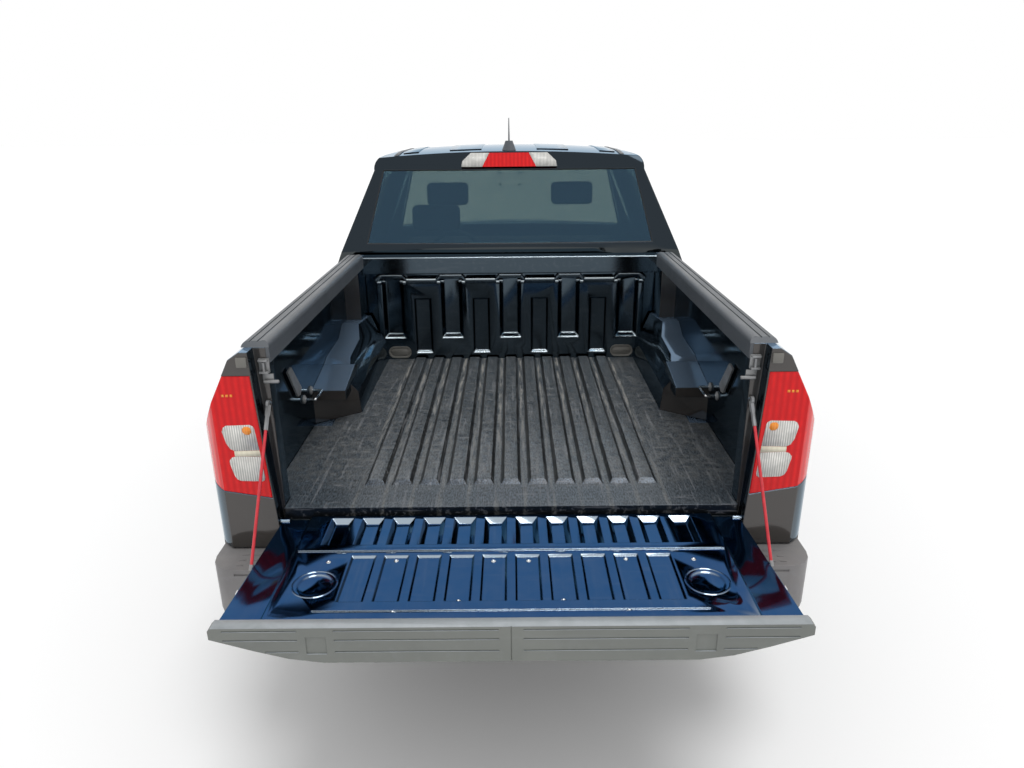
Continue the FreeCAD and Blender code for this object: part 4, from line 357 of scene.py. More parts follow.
rail_probe = BVHTree.FromBMesh(merged_copy("frame_rail_left"))
rail_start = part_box("frame_rail_left")[0].y
bolts = bmesh.new()
for turn in range(BOLT_COUNT):
    along = rail_start + BOLT_PITCH * (turn + 0.5)
    for level in BOLT_LEVELS:
        hit = rail_probe.ray_cast(Vector((CLEAR_OF_TRUCK, along, level)), Vector((-1, 0, 0)))[0]
        if hit:
            for side in (1, -1):
                foot = Vector((side * (hit.x - BOLT_SINK), along, level))
                add_turned(bolts, BOLT_HEAD, foot, (side, 0, 0), 6)
mesh_piece("frame_bolts", bolts, bolt_zinc, "truck")

# Tyres: black rubber on steel belts, moulded with blocks across the tread and raised
# bands on the side walls, seated on the rims by air pressure.
WHEEL_NAMES = ("front_left", "front_right", "rear_left", "rear_right")
TYRE_STEPS = 96
TREAD_FLOOR = 0.3755
TREAD_HALF = 0.1
TREAD_CROWN = 0.003
TREAD_DEEP = 0.0085
TREAD_SLANT = 0.16
TREAD_LINES = (-TREAD_HALF, -0.062, -0.022, 0.022, 0.062, TREAD_HALF)
SLANTED_FROM = TREAD_FLOOR - 0.004
BLOCKS_FROM = TREAD_FLOOR - 0.01
BLOCK_GROOVE = 0.0045
BLOCK_TILT = 0.3
SIDE_WALL = [(0.2385, 0.091), (0.252, 0.097), (0.262, 0.112), (0.268, 0.1165), (0.272, 0.1165),
             (0.276, 0.1205), (0.300, 0.1272), (0.322, 0.1268), (0.324, 0.1246), (0.340, 0.1226),
             (0.343, 0.1236), (0.354, 0.1196), (0.366, 0.1110)]
SPARE_SHOULDER = 0.018
tyre_rubber = finish("tyre_rubber", (0.022, 0.022, 0.022, 1), 0.62, other=(0.035, 0.034, 0.032, 1),
                     drift_scale=11.0, dusty=0.25, grained=0.25, grain_scale=700.0)
tyre_outline = ([(radius, -along) for radius, along in SIDE_WALL]
                + [(TREAD_FLOOR - TREAD_CROWN * (abs(along) / TREAD_HALF) ** 3, along)
                   for along in TREAD_LINES]
                + SIDE_WALL[::-1])
for wheel in WHEEL_NAMES:
    centre = sum(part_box("tyre_" + wheel), Vector()) / 2
    tyre = bmesh.new()
    add_turned(tyre, tyre_outline, centre, (1, 0, 0), TYRE_STEPS)
    close_up(tyre)
    for corner in tyre.verts:
        arm = corner.co - centre
        if math.hypot(arm.y, arm.z) > SLANTED_FROM:
            corner.co = centre + Matrix.Rotation(TREAD_SLANT * abs(arm.x) / TREAD_HALF, 3, "X") @ arm
    blocks = [face for face in tyre.faces
              if abs(face.calc_center_median().x - centre.x) < TREAD_HALF
              and abs(face.normal.x) < BLOCK_TILT
              and (face.calc_center_median() - centre).length > BLOCKS_FROM]
    bmesh.ops.inset_individual(tyre, faces=blocks, thickness=BLOCK_GROOVE, depth=TREAD_DEEP,
                               use_even_offset=True)
    piece = mesh_piece("tyre_" + wheel + "_cover", tyre, tyre_rubber, "wheel_" + wheel,
                       35, modelled=False)
    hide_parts("tyre_" + wheel)
dressed("spare_wheel", tyre_rubber, SPARE_SHOULDER)

# Wheels: cast alloy rims, machined and lacquered, each held by six plated nuts round a
# black pressed-in centre cap, with the steel brake disc behind the spokes.
NUT_COUNT = 6
NUT_CIRCLE = 0.0495
NUT_RADIUS = 0.0105
NUT_HIGH = 0.016
NUT_SINK = 0.001
NUT = [(0, 0), (NUT_RADIUS, 0), (NUT_RADIUS, NUT_HIGH * 0.7), (NUT_RADIUS * 0.6, NUT_HIGH),
       (0, NUT_HIGH)]
CAP_RADIUS = 0.0355
CAP_HIGH = 0.011
CAP_SINK = 0.0005
CAP = [(0, 0), (CAP_RADIUS, 0), (CAP_RADIUS, CAP_HIGH * 0.6), (CAP_RADIUS * 0.86, CAP_HIGH),
       (CAP_RADIUS * 0.8, CAP_HIGH * 0.8), (0, CAP_HIGH * 0.9)]
wheel_alloy = finish("wheel_alloy", (0.42, 0.43, 0.45, 1), 0.24, 0.85, other=(0.33, 0.34, 0.36, 1),
                     drift_scale=8.0, coat=0.4, dusty=0.12)
cap_black = finish("cap_black", (0.02, 0.02, 0.022, 1), 0.3, coat=0.3)
for wheel in WHEEL_NAMES:
    dressed("rim_" + wheel, wheel_alloy, 0.0022, 30)
    centre = sum(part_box("rim_" + wheel), Vector()) / 2
    outward = 1 if centre.x > 0 else -1
    probe = BVHTree.FromBMesh(merged_copy("rim_" + wheel))
    beside = centre + Vector((outward, NUT_CIRCLE, 0))
    face = probe.ray_cast(beside, Vector((-outward, 0, 0)))[0].x
    nuts = bmesh.new()
    for turn in range(NUT_COUNT):
        angle = math.tau * turn / NUT_COUNT
        foot = Vector((face - outward * NUT_SINK, centre.y + NUT_CIRCLE * math.cos(angle),
                       centre.z + NUT_CIRCLE * math.sin(angle)))
        add_turned(nuts, NUT, foot, (outward, 0, 0), 6)
    mesh_piece("nuts_" + wheel, nuts, bolt_zinc, "wheel_" + wheel)
    cap = bmesh.new()
    add_turned(cap, CAP, (face - outward * CAP_SINK, centre.y, centre.z), (outward, 0, 0), 40)
    mesh_piece("centre_cap_" + wheel, cap, cap_black, "wheel_" + wheel, 30)

# Painted body panels: pressed steel in gloss black over primer, hung and bolted to the
# cab and the ladder frame, with small rounded edges where the sheet is folded over.
SHEEN_SAMPLES = 4
SHEEN_SHADES = ("Up", "Rear", "Side", "Edge")
FLAT_SLOPES = (0.72, 0.96)
REAR_SLOPES = (0.4, 0.85)
EDGE_LEANS_REARWARD = (0.22, 0.5)
EDGE_LEANS_UP = (0.15, 0.45)
EDGE_ENDS = (0.97, 0.86)
# GRAZING_TINT turns the paint's grazing reflections blue, a painted sky reflection.
GRAZING_TINT = (0.60, 0.82, 1, 1)
PAINT_DRIFT_SCALE = 3.0
PAINT_ROUGH_SPREAD = 0.05
PAINT_SCUFF_SCALE = 50.0
PAINT_SCUFF_DULLS = 0.3
PAINT_DUST_SCALE = 20.0
PAINT_DUST_DULLS = 0.5
PRESSED_EDGE = 0.0022
# The sheen group paints reflections into the colour by which way the rounded surface faces: a painted sky
# reflection where it faces up, painted reflections of the surroundings where it faces rearward or
# sideways, and a painted highlight where an edge leans up and rearward. It also passes the rounded normal
# on.
sheen = bpy.data.node_groups.new("painted_sky_reflection", "ShaderNodeTree")
for title in SHEEN_SHADES:
    sheen.interface.new_socket(title, in_out="INPUT", socket_type="NodeSocketColor")
sheen.interface.new_socket("Radius", in_out="INPUT", socket_type="NodeSocketFloat")
sheen.interface.new_socket("Color", in_out="OUTPUT", socket_type="NodeSocketColor")
sheen.interface.new_socket("Normal", in_out="OUTPUT", socket_type="NodeSocketVector")
sheen_in = sheen.nodes.new("NodeGroupInput").outputs
sheen_out = sheen.nodes.new("NodeGroupOutput").inputs
softened = put(sheen, "ShaderNodeBevel", {"Radius": sheen_in["Radius"]}, samples=SHEEN_SAMPLES).outputs[0]
slopes = put(sheen, "ShaderNodeSeparateXYZ", {0: softened}).outputs
leaning = times(sheen, window(sheen, slopes["Y"], *EDGE_LEANS_REARWARD),
                window(sheen, slopes["Z"], *EDGE_LEANS_UP))
leaning = times(sheen, leaning, window(sheen, slopes["Z"], *EDGE_ENDS))
upright = mixed(sheen, window(sheen, slopes["Y"], *REAR_SLOPES), sheen_in["Side"], sheen_in["Rear"])
toned = mixed(sheen, window(sheen, slopes["Z"], *FLAT_SLOPES), upright, sheen_in["Up"])
sheen.links.new(mixed(sheen, leaning, toned, sheen_in["Edge"]), sheen_out["Color"])
sheen.links.new(softened, sheen_out["Normal"])


def painted_reflection_in_tree(tree, shades, radius):
    """The outputs of the painted reflection group, placed in a tree with its four painted reflection
    shades and its edge radius.
    """
    shine = put(tree, "ShaderNodeGroup", node_tree=sheen)
    for title, shade in zip(SHEEN_SHADES, shades):
        shine.inputs[title].default_value = (*shade, 1)
    shine.inputs["Radius"].default_value = radius
    return shine.outputs


def gloss_paint(name, shades, rough, dusty=0.0, scuffed=0.0, radius=0.004, metal=1.0):
    """Black gloss paint, its colour a painted reflection: sky blue where it lies flat, near black where it
    stands upright, with painted highlights along its edges.
    """
    material, surface = bare_material(name)
    tree = material.node_tree
    surface.inputs["Metallic"].default_value = metal
    surface.inputs["Specular Tint"].default_value = GRAZING_TINT
    shine = painted_reflection_in_tree(tree, shades, radius)
    roughness = window(tree, used(tree, drift, Scale=PAINT_DRIFT_SCALE), 0.0, 1.0, rough,
                       rough + PAINT_ROUGH_SPREAD)
    shade, roughness = marked(tree, shine["Color"], roughness, scuffs, scuffed, PAINT_SCUFF_SCALE,
                              SCUFF_COLOUR, PAINT_SCUFF_DULLS)
    shade, roughness = marked(tree, shade, roughness, dust, dusty, PAINT_DUST_SCALE, DUST_COLOUR,
                              PAINT_DUST_DULLS)
    tree.links.new(shade, surface.inputs["Base Color"])
    tree.links.new(roughness, surface.inputs["Roughness"])
    tree.links.new(shine["Normal"], surface.inputs["Normal"])
    return material


# body_paint, load_paint, bulkhead_paint and tailgate_paint are one black gloss paint. Their four shades
# are painted reflections and painted edge highlights, set panel by panel for how each is lit: palest on
# the bulkhead, bluest on the tailgate, brownish on the load space's rearward faces.
body_paint = gloss_paint("body_paint", ((0.030, 0.062, 0.12), (0.050, 0.057, 0.060),
                                        (0.018, 0.021, 0.027), (0.026, 0.034, 0.042)), 0.05)
load_paint = gloss_paint("load_space_paint", ((0.17, 0.25, 0.36), (0.085, 0.076, 0.070),
                                              (0.006, 0.008, 0.011), (0.13, 0.17, 0.22)),
                         0.08, dusty=0.06, radius=0.005, metal=0.55)
bulkhead_paint = gloss_paint("bulkhead_paint", ((0.36, 0.42, 0.47), (0.050, 0.068, 0.084),
                                                (0.010, 0.014, 0.018), (0.50, 0.57, 0.62)),
                             0.07, dusty=0.05, scuffed=0.04, radius=0.008)
tailgate_paint = gloss_paint("tailgate_paint", ((0.024, 0.074, 0.19), (0.02, 0.03, 0.05),
                                                (0.004, 0.006, 0.010), (0.36, 0.43, 0.50)),
                             0.06, dusty=0.03, scuffed=0.03)
for panel in ("hood", "cowl_panel", "fender_left", "fender_right", "front_panel", "cab_shell",
              "door_front_left", "door_front_right", "door_rear_left", "door_rear_right"):
    dressed(panel, body_paint)
for panel, coat in (("box_side_left", load_paint), ("box_side_right", load_paint),
                    ("bulkhead", bulkhead_paint), ("tailgate", tailgate_paint)):
    dressed(panel, coat, PRESSED_EDGE)

# Bulkhead bead: the rounded fold along the stepped upper edge of the bulkhead's recesses,
# pressed in the same painted sheet. Its pale colours are a painted highlight along the fold.
BEAD_RADIUS = 0.012
BEAD_LOW = 1.10
BEAD_HIGH = 1.30
BEAD_SLOPE = 0.7
bead_painted_highlight = gloss_paint("bead_painted_highlight", ((0.60, 0.67, 0.72), (0.20, 0.24, 0.27), (0.08, 0.10, 0.11),
                                        (0.75, 0.82, 0.86)), 0.2)


def add_rod(form, start, end, radius, steps):
    """Adds a round rod with closed ends between two places."""
    run = end - start
    add_turned(form, [(0, 0), (radius, 0), (radius, run.length), (0, run.length)], start,
               run.normalized(), steps)


bulkhead_form = merged_copy("bulkhead")
beads = bmesh.new()
for edge in bulkhead_form.edges:
    start, end = (corner.co for corner in edge.verts)
    slopes = [face.normal for face in edge.link_faces]
    if (len(slopes) == 2 and BEAD_LOW < (start.z + end.z) / 2 < BEAD_HIGH
            and max(slope.z for slope in slopes) > BEAD_SLOPE
            and max(slope.y for slope in slopes) > BEAD_SLOPE):
        add_rod(beads, start, end, BEAD_RADIUS, 16)
mesh_piece("bulkhead_bead", beads, bead_painted_highlight, "truck", 50)

# Box floor: one pressed steel sheet with raised ribs, painted with the box, its ribs
# brushed bare of shine by loads and its valleys holding pale dust.
FLOOR_VALLEY = 0.835
RIB_TOP = 0.849
RIB_PITCH = 0.0895
RIBS_HALF = 0.5
# FLOOR_SHADES are painted reflections: paler where the floor lies flat, near black on upright faces and
# bluish on the rib ends' slopes.
FLOOR_SHADES = ((0.066, 0.080, 0.094), (0.008, 0.010, 0.013), (0.006, 0.008, 0.010),
                (0.045, 0.058, 0.076))
FLOOR_METALLIC = 0.35
FLOOR_EDGE = 0.004
DUST_LINE_HALF = 0.010
DUST_LINE_CORE = 0.0045
DUST_LEVELS = (FLOOR_VALLEY + 0.001, RIB_TOP - 0.006)
DUST_FORWARD = (2.2, 0.9, 0.25, 0.95)
DUST_BETWEEN = (RIBS_HALF + 0.01, RIBS_HALF)
STREAK_RANGE = (0.38, 0.62)
HAZE_ENDS = (2.24, 2.1)
GRIT_RANGE = (0.35, 0.7, 0.35, 1.9)
BARE_COLOUR = (0.26, 0.27, 0.29, 1)
WORN_ROUGHNESS = (0.0, 0.8, 0.30, 0.75)
floor_paint, floor_surface = bare_material("box_floor_paint")
tree = floor_paint.node_tree
floor_surface.inputs["Metallic"].default_value = FLOOR_METALLIC
shine = painted_reflection_in_tree(tree, FLOOR_SHADES, FLOOR_EDGE)
place = put(tree, "ShaderNodeSeparateXYZ", {0: put(tree, "ShaderNodeTexCoord").outputs["Object"]}).outputs
shifted = reckoned(tree, "ADD", place["X"], RIB_PITCH / 2)
valley = window(tree, reckoned(tree, "PINGPONG", shifted, RIB_PITCH / 2), DUST_LINE_HALF, DUST_LINE_CORE)
low_ground = window(tree, place["Z"], *DUST_LEVELS, 1.0, 0.0)
forward = window(tree, place["Y"], *DUST_FORWARD)
streaks = window(tree, spread_noise(tree, (1, 0.08, 1), 120.0, 8.0), *STREAK_RANGE)
among_ribs = window(tree, reckoned(tree, "ABSOLUTE", place["X"]), *DUST_BETWEEN)
film = times(tree, times(tree, times(tree, valley, low_ground), forward), times(tree, streaks, among_ribs))
haze = times(tree, used(tree, dust, Amount=0.22, Scale=40.0), window(tree, place["Y"], *HAZE_ENDS))
film = reckoned(tree, "MAXIMUM", film, haze)
marks = used(tree, scuffs, Amount=0.34, Scale=90.0)
grit = window(tree, spread_noise(tree, (1, 0.25, 1), 260.0, 10.0), *GRIT_RANGE)
dull = put(tree, "ShaderNodeMix", {0: 1.0, 6: shine["Color"], 7: grit}, data_type="RGBA",
           blend_type="MULTIPLY").outputs[2]
shade = mixed(tree, film, mixed(tree, marks, dull, BARE_COLOUR), DUST_COLOUR)
wear = reckoned(tree, "ADD", film, marks)
tree.links.new(shade, floor_surface.inputs["Base Color"])
tree.links.new(window(tree, wear, *WORN_ROUGHNESS), floor_surface.inputs["Roughness"])
tree.links.new(shine["Normal"], floor_surface.inputs["Normal"])
dressed("box_floor", floor_paint, 0.003)

# Cargo box fittings: chromed steel tie-down loops and grey stamped brackets screwed to the
# side walls, and two moulded drain plugs in the bulkhead's foot.
SIDES = (("left", 1), ("right", -1))
HINGE_LINE = 2.347
WALL_FACE = 0.775
WALL_SINK = 0.001
LOOP_ROD = 0.0055
LOOP_REACH = 0.045
LOOP_ALONG = HINGE_LINE - 0.62
LOOP_LEVEL = 0.985
LOOP_HALF = 0.05
LOOP_STRAIGHT = 0.045
LOOP_SAG = 0.004
FRONT_LOOP_NEAR = 0.7745
FRONT_LOOP_FAR = 0.735
FRONT_LOOP_ALONG = HINGE_LINE - 1.415
FRONT_LOOP_LEVEL = 1.16
FRONT_LOOP_HALF = 0.04
FRONT_LOOP_STRAIGHT = 0.034
WASHER = [(0, 0), (0.017, 0), (0.017, 0.004), (0.009, 0.009), (0, 0.009)]
BRACKET_STAND = 0.006
BRACKET_THICK = 0.0065
BRACKET_CORNERS = ((-0.386, 1.155), (-0.43, 1.16), (-0.524, 1.05), (-0.50, 1.03), (-0.47, 1.035))
PLUG_ACROSS = 0.553
PLUG_LEVEL = 0.871
PLUG_HALF_LONG = 0.056
PLUG_HALF_HIGH = 0.030
PLUG_SINK = 0.002
PLUG_PROUD = 0.006
PLUG_CORNER = 0.0295
PLUG_STEPS = ((0.006, 0.0), (0.003, -0.004), (0.006, 0.003))
FACING = 0.9
chrome = finish("chrome", (0.72, 0.73, 0.74, 1), 0.14, 1.0, other=(0.6, 0.6, 0.6, 1), drift_scale=30.0)
zinc_grey = finish("zinc_grey", (0.30, 0.31, 0.32, 1), 0.4, 0.5, other=(0.22, 0.22, 0.22, 1),
                   drift_scale=25.0, dusty=0.2)
grey_moulding = finish("grey_moulding", (0.17, 0.165, 0.15, 1), 0.5, grained=0.3)


def bent_rods(name, routes, radius, material, body):
    """Round rods bent along their routes, each corner eased over two close points."""
    rods = bpy.data.curves.new(name, "CURVE")
    rods.dimensions = "3D"
    rods.bevel_depth = radius
    rods.bevel_resolution = 3
    rods.use_fill_caps = True
    for route in routes:
        line = rods.splines.new("NURBS")
        line.points.add(len(route) - 1)
        for point, place in zip(line.points, route):
            point.co = (*place, 1)
        line.order_u = 3
        line.use_endpoint_u = True
        line.resolution_u = 8
    rods.materials.append(material)
    piece = bpy.data.objects.new(name, rods)
    scene.collection.objects.link(piece)
    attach(piece, body)


def add_block(form, low, high, rounding, steps=2):
    """Adds a block with rounded edges from its two far corners."""
    low, high = Vector(low), Vector(high)
    place = Matrix.Translation((low + high) / 2) @ Matrix.Diagonal((*(high - low), 1))
    corners = bmesh.ops.create_cube(form, size=1, matrix=place)["verts"]
    edges = list({edge for corner in corners for edge in corner.link_edges})
    if rounding:
        bmesh.ops.bevel(form, geom=edges, offset=rounding, segments=steps, affect="EDGES",
                        profile=0.5, material=-1)


def add_plate(form, corners, thick):
    """Adds a flat plate from its corners, thickened against its face."""
    face = form.faces.new([form.verts.new(corner) for corner in corners])
    face.normal_update()
    grown = bmesh.ops.extrude_face_region(form, geom=[face])["geom"]
    away = [item for item in grown if isinstance(item, bmesh.types.BMVert)]
    bmesh.ops.translate(form, vec=-face.normal * thick, verts=away)


bulkhead_probe = BVHTree.FromBMesh(merged_copy("bulkhead"))
for label, side in SIDES:
    near, far = side * (WALL_FACE - WALL_SINK), side * (WALL_FACE - LOOP_REACH)
    rear_loop = [(across, LOOP_ALONG + shift, LOOP_LEVEL - drop) for across, shift, drop in (
        (near, -LOOP_HALF, 0), (far, -LOOP_HALF, 0), (far, -LOOP_STRAIGHT, 0), (far, 0, LOOP_SAG),
        (far, LOOP_STRAIGHT, 0), (far, LOOP_HALF, 0), (near, LOOP_HALF, 0))]
    front_near, front_far = side * FRONT_LOOP_NEAR, side * FRONT_LOOP_FAR
    front_loop = [(across, FRONT_LOOP_ALONG, FRONT_LOOP_LEVEL + rise) for across, rise in (
        (front_near, FRONT_LOOP_HALF), (front_far, FRONT_LOOP_HALF), (front_far, FRONT_LOOP_STRAIGHT),
        (front_far, -FRONT_LOOP_STRAIGHT), (front_far, -FRONT_LOOP_HALF),
        (front_near, -FRONT_LOOP_HALF))]
    bent_rods("tie_down_loops_" + label, (rear_loop, front_loop), LOOP_ROD, chrome, "truck")

    brackets = bmesh.new()
    for shift in (-LOOP_HALF, LOOP_HALF):
        add_turned(brackets, WASHER, (near, LOOP_ALONG + shift, LOOP_LEVEL), (-side, 0, 0), 20)
    corners = [(near - side * BRACKET_STAND, HINGE_LINE + behind, level)
               for behind, level in BRACKET_CORNERS]
    add_plate(brackets, corners, -side * BRACKET_THICK)
    mesh_piece("wall_brackets_" + label, brackets, zinc_grey, "truck", 30)

    plug = bmesh.new()
    from_behind = Vector((side * PLUG_ACROSS, CLEAR_OF_TRUCK, PLUG_LEVEL))
    middle = bulkhead_probe.ray_cast(from_behind, Vector((0, -1, 0)))[0]
    add_block(plug, middle - Vector((PLUG_HALF_LONG, PLUG_SINK, PLUG_HALF_HIGH)),
              middle + Vector((PLUG_HALF_LONG, PLUG_PROUD, PLUG_HALF_HIGH)), 0)
    uprights = [edge for edge in plug.edges
                if abs((edge.verts[0].co - edge.verts[1].co).normalized().y) > FACING]
    bmesh.ops.bevel(plug, geom=uprights, offset=PLUG_CORNER, segments=8, affect="EDGES",
                    profile=0.5, material=-1)
    front_faces = [face for face in plug.faces if face.normal.y > FACING]
    for width, rise in PLUG_STEPS:
        bmesh.ops.inset_region(plug, faces=front_faces, thickness=width, depth=rise,
                               use_even_offset=True)
    mesh_piece("drain_plug_" + label, plug, grey_moulding, "truck", 30)

# Tailgate latch parts on the rear posts: a stamped striker bracket with its steel pin, a
# moulded rubber stop beside it, and screwed studs that take the red check cables.
POST_FACE = HINGE_LINE - 0.036
REAR_FACE = HINGE_LINE + 0.014
STRIKER_PLATE = ((0.698, POST_FACE - 0.002, 1.276), (0.729, POST_FACE + 0.004, 1.319))
STRIKER_EAR = ((0.700, POST_FACE, 0), (0.727, POST_FACE + 0.016, 0.006))
EAR_LEVELS = (1.276, 1.312)
PIN = [(0, 0), (0.0045, 0), (0.0045, 0.030), (0, 0.030)]
PIN_FOOT = Vector((0.713, POST_FACE + 0.012, 1.280))
STUD_PLATE = ((0.690, POST_FACE - 0.001, 1.244), (0.722, POST_FACE + 0.003, 1.272))
STUD = [(0, 0), (0.0055, 0.001), (0.0055, 0.042), (0.004, 0.044), (0, 0.044)]
STUD_FOOT = Vector((0.718, POST_FACE + 0.008, 1.250))
RUBBER_STOP = ((0.745, REAR_FACE - 0.003, 1.308), (0.776, REAR_FACE + 0.006, 1.338))
PLATE_EDGE = 0.0015
EAR_EDGE = 0.001
STOP_EDGE = 0.003


def on_side(side, place):
    """A place given for the left side, moved to the same place on either side."""
    return Vector((side * place[0], place[1], place[2]))


def add_side_block(form, side, inner, outer, rounding, steps=2):
    """Adds a block on one side of the truck, from its two corners as they lie on the left."""
    ends = sorted((side * inner[0], side * outer[0]))
    add_block(form, (ends[0], *inner[1:]), (ends[1], *outer[1:]), rounding, steps=steps)


for label, side in SIDES:
    striker = bmesh.new()
    add_side_block(striker, side, *STRIKER_PLATE, PLATE_EDGE)
    for level in EAR_LEVELS:
        low, high = (Vector(corner) + Vector((0, 0, level)) for corner in STRIKER_EAR)
        add_side_block(striker, side, low, high, EAR_EDGE)
    add_turned(striker, PIN, on_side(side, PIN_FOOT), (0, 0, 1), 12)
    add_side_block(striker, side, *STUD_PLATE, EAR_EDGE)
    add_turned(striker, STUD, on_side(side, STUD_FOOT), (-side, 0, 0), 16)
    mesh_piece("latch_striker_" + label, striker, zinc_grey, "truck", 30)
    stop = bmesh.new()
    add_side_block(stop, side, *RUBBER_STOP, STOP_EDGE)
    mesh_piece("tailgate_stop_" + label, stop, grey_moulding, "truck", 30)

# Check cables: steel strand in a red plastic sleeve, crimped into plated end fittings that
# hook on the post's stud and on the tailgate's lug.
CABLE_RADIUS = 0.0045
CABLE_TOP = Vector((0.714, HINGE_LINE - 0.027, 1.176))
CABLE_FOOT = Vector((0.725, HINGE_LINE + 0.246, 0.789))
CABLE_RINGS = 28
CABLE_SIDES = 12
UPPER_FITTING = [(0, 0), (0.0085, 0), (0.0085, 0.03), (0.0066, 0.034), (0.0066, 0.075), (0, 0.075)]
LOWER_FITTING = [(0, 0), (0.0062, 0), (0.0062, 0.016), (0, 0.016)]
EYE = [(0, 0), (0.012, 0), (0.012, 0.008), (0, 0.008)]
EYE_SHIFT = Vector((-0.004, 0, 0.004))
cable_red = finish("cable_red", (0.62, 0.03, 0.045, 1), 0.35, other=(0.5, 0.02, 0.03, 1), drift_scale=50.0)
for label, side in SIDES:
    head = on_side(side, CABLE_TOP)
    foot = on_side(side, CABLE_FOOT)
    run = foot - head
    cable = bmesh.new()
    turn = run.to_track_quat("Z", "Y").to_matrix().to_4x4()
    bmesh.ops.create_circle(cable, segments=CABLE_SIDES, radius=CABLE_RADIUS, cap_ends=True,
                            matrix=Matrix.Translation(head) @ turn)
    last = cable.faces[:]
    for step in range(CABLE_RINGS):
        grown = bmesh.ops.extrude_face_region(cable, geom=last)["geom"]
        last = [item for item in grown if isinstance(item, bmesh.types.BMFace)]
        bmesh.ops.translate(cable, vec=run / CABLE_RINGS,
                            verts=[item for item in grown if isinstance(item, bmesh.types.BMVert)])
    inner = [face for face in cable.faces if len(face.verts) > 4]
    bmesh.ops.delete(cable, geom=inner[1:-1], context="FACES_ONLY")
    piece = mesh_piece("check_cable_" + label, cable, cable_red, None, 40)
    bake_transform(piece)
    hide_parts("tailgate_cable_" + label)
    down = run.normalized()
    upper, lower = bmesh.new(), bmesh.new()
    add_turned(upper, UPPER_FITTING, head, down, 6)
    add_turned(upper, EYE, head + on_side(side, EYE_SHIFT), (side, 0, 0), 20)
    mesh_piece("cable_fitting_upper_" + label, upper, zinc_grey, "truck", 30)
    add_turned(lower, LOWER_FITTING, foot, -down, 12)
    mesh_piece("cable_fitting_lower_" + label, lower, zinc_grey, "tailgate", 30)

# Tailgate fittings: plated pan-head screws that hold the inner cover, round stamped rings,
# small raised stiffening lines and the latch bolts at its two edges.
SCREW_PLACES = ((0.507, 0.243), (0.321, 0.231), (0.049, 0.236), (0.135, 0.415), (0.296, 0.461))
SCREW_RADIUS = 0.007
SCREW_HIGH = 0.0028
SCREW_SINK = 0.0004
SCREW = [(0, 0), (SCREW_RADIUS, 0), (SCREW_RADIUS * 0.92, SCREW_HIGH * 0.6),
         (SCREW_RADIUS * 0.55, SCREW_HIGH), (SCREW_RADIUS * 0.3, SCREW_HIGH * 0.5), (0, SCREW_HIGH * 0.5)]
DISH_MIDDLE = Vector((0.52, HINGE_LINE + 0.345))
DISH_RING = 0.058
RING_HALF = 0.004
RING_HIGH = 0.0022
RING_SINK = 0.0005
DISH_EDGE = Vector((0.464, HINGE_LINE + 0.344))
LINE_PLACES = (-0.46, -0.30, -0.14, 0.02, 0.18, 0.34, 0.48)
LINE_LOW = Vector((-0.014, HINGE_LINE + 0.1975, -0.0006))
LINE_HIGH = Vector((0.014, HINGE_LINE + 0.2005, 0.0014))
LINE_MIDDLE = HINGE_LINE + 0.198
LINE_EDGE = 0.0008
LATCH_BOLT = ((0.7215, HINGE_LINE + 0.338, 0.777), (0.7305, HINGE_LINE + 0.356, 0.793))
LATCH_BOLT_EDGE = 0.002
tailgate_probe = BVHTree.FromBMesh(merged_copy("tailgate"))


def level_under(probe, x, y):
    """The level of a piece's upper face at a place, or nothing where there is none."""
    hit = probe.ray_cast(Vector((x, y, CLEAR_OF_TRUCK)), Vector((0, 0, -1)))[0]
    return hit and hit.z


screws = bmesh.new()
for across, behind in SCREW_PLACES:
    for side in (1, -1):
        level = level_under(tailgate_probe, side * across, HINGE_LINE + behind)
        add_turned(screws, SCREW, (side * across, HINGE_LINE + behind, level - SCREW_SINK), (0, 0, 1), 16)
mesh_piece("tailgate_screws", screws, chrome, "tailgate", 30)
pressings = bmesh.new()
for side in (1, -1):
    level = level_under(tailgate_probe, side * DISH_EDGE.x, DISH_EDGE.y) - RING_SINK
    add_turned(pressings, [(DISH_RING - RING_HALF, 0), (DISH_RING, RING_HIGH), (DISH_RING + RING_HALF, 0)],
               (side * DISH_MIDDLE.x, DISH_MIDDLE.y, level), (0, 0, 1), 64)
for across in LINE_PLACES:
    place = Vector((across, 0, level_under(tailgate_probe, across, LINE_MIDDLE)))
    add_block(pressings, place + LINE_LOW, place + LINE_HIGH, LINE_EDGE)
mesh_piece("tailgate_pressings", pressings, tailgate_paint, "tailgate", 40)
bolts = bmesh.new()
for side in (1, -1):
    add_side_block(bolts, side, *LATCH_BOLT, LATCH_BOLT_EDGE)
mesh_piece("tailgate_latch_bolts", bolts, chrome, "tailgate", 30)

# Tailgate cap: a moulded grey plastic strip along the upper edge, clipped on, with a paler
# top that carries plain measuring ticks.
TICK_PITCH = 0.0127
TICK_COUNT = 52
TICKS_TO_A_LONG_ONE = 5
LONG_TICK = 0.011
SHORT_TICK = 0.006
TICK_HALF = 0.0007
TICK_START = 0.005
TICK_SINK = 0.0004
TICK_RISE = 0.0005
TICK_PROBE = 0.012
OFF_CENTRE = 0.0004
CUT_CLOSE = 0.000001
OVERLAY_SINK = 0.0003
UPWARD = 0.8
CAP_TOP_THICK = 0.0006
trim_plastic = finish("trim_plastic", (0.085, 0.095, 0.108, 1), 0.36, other=(0.07, 0.08, 0.092, 1),
                      drift_scale=5.0, grained=0.35, dusty=0.12, scuffed=0.05)
cap_grey = finish("cap_grey", (0.165, 0.175, 0.162, 1), 0.5, other=(0.145, 0.155, 0.145, 1),
                  drift_scale=7.0, grained=0.4, scuffed=0.05)
cap_pale = finish("cap_pale", (0.36, 0.39, 0.41, 1), 0.4, other=(0.31, 0.34, 0.355, 1),
                  drift_scale=30.0, grained=0.3)
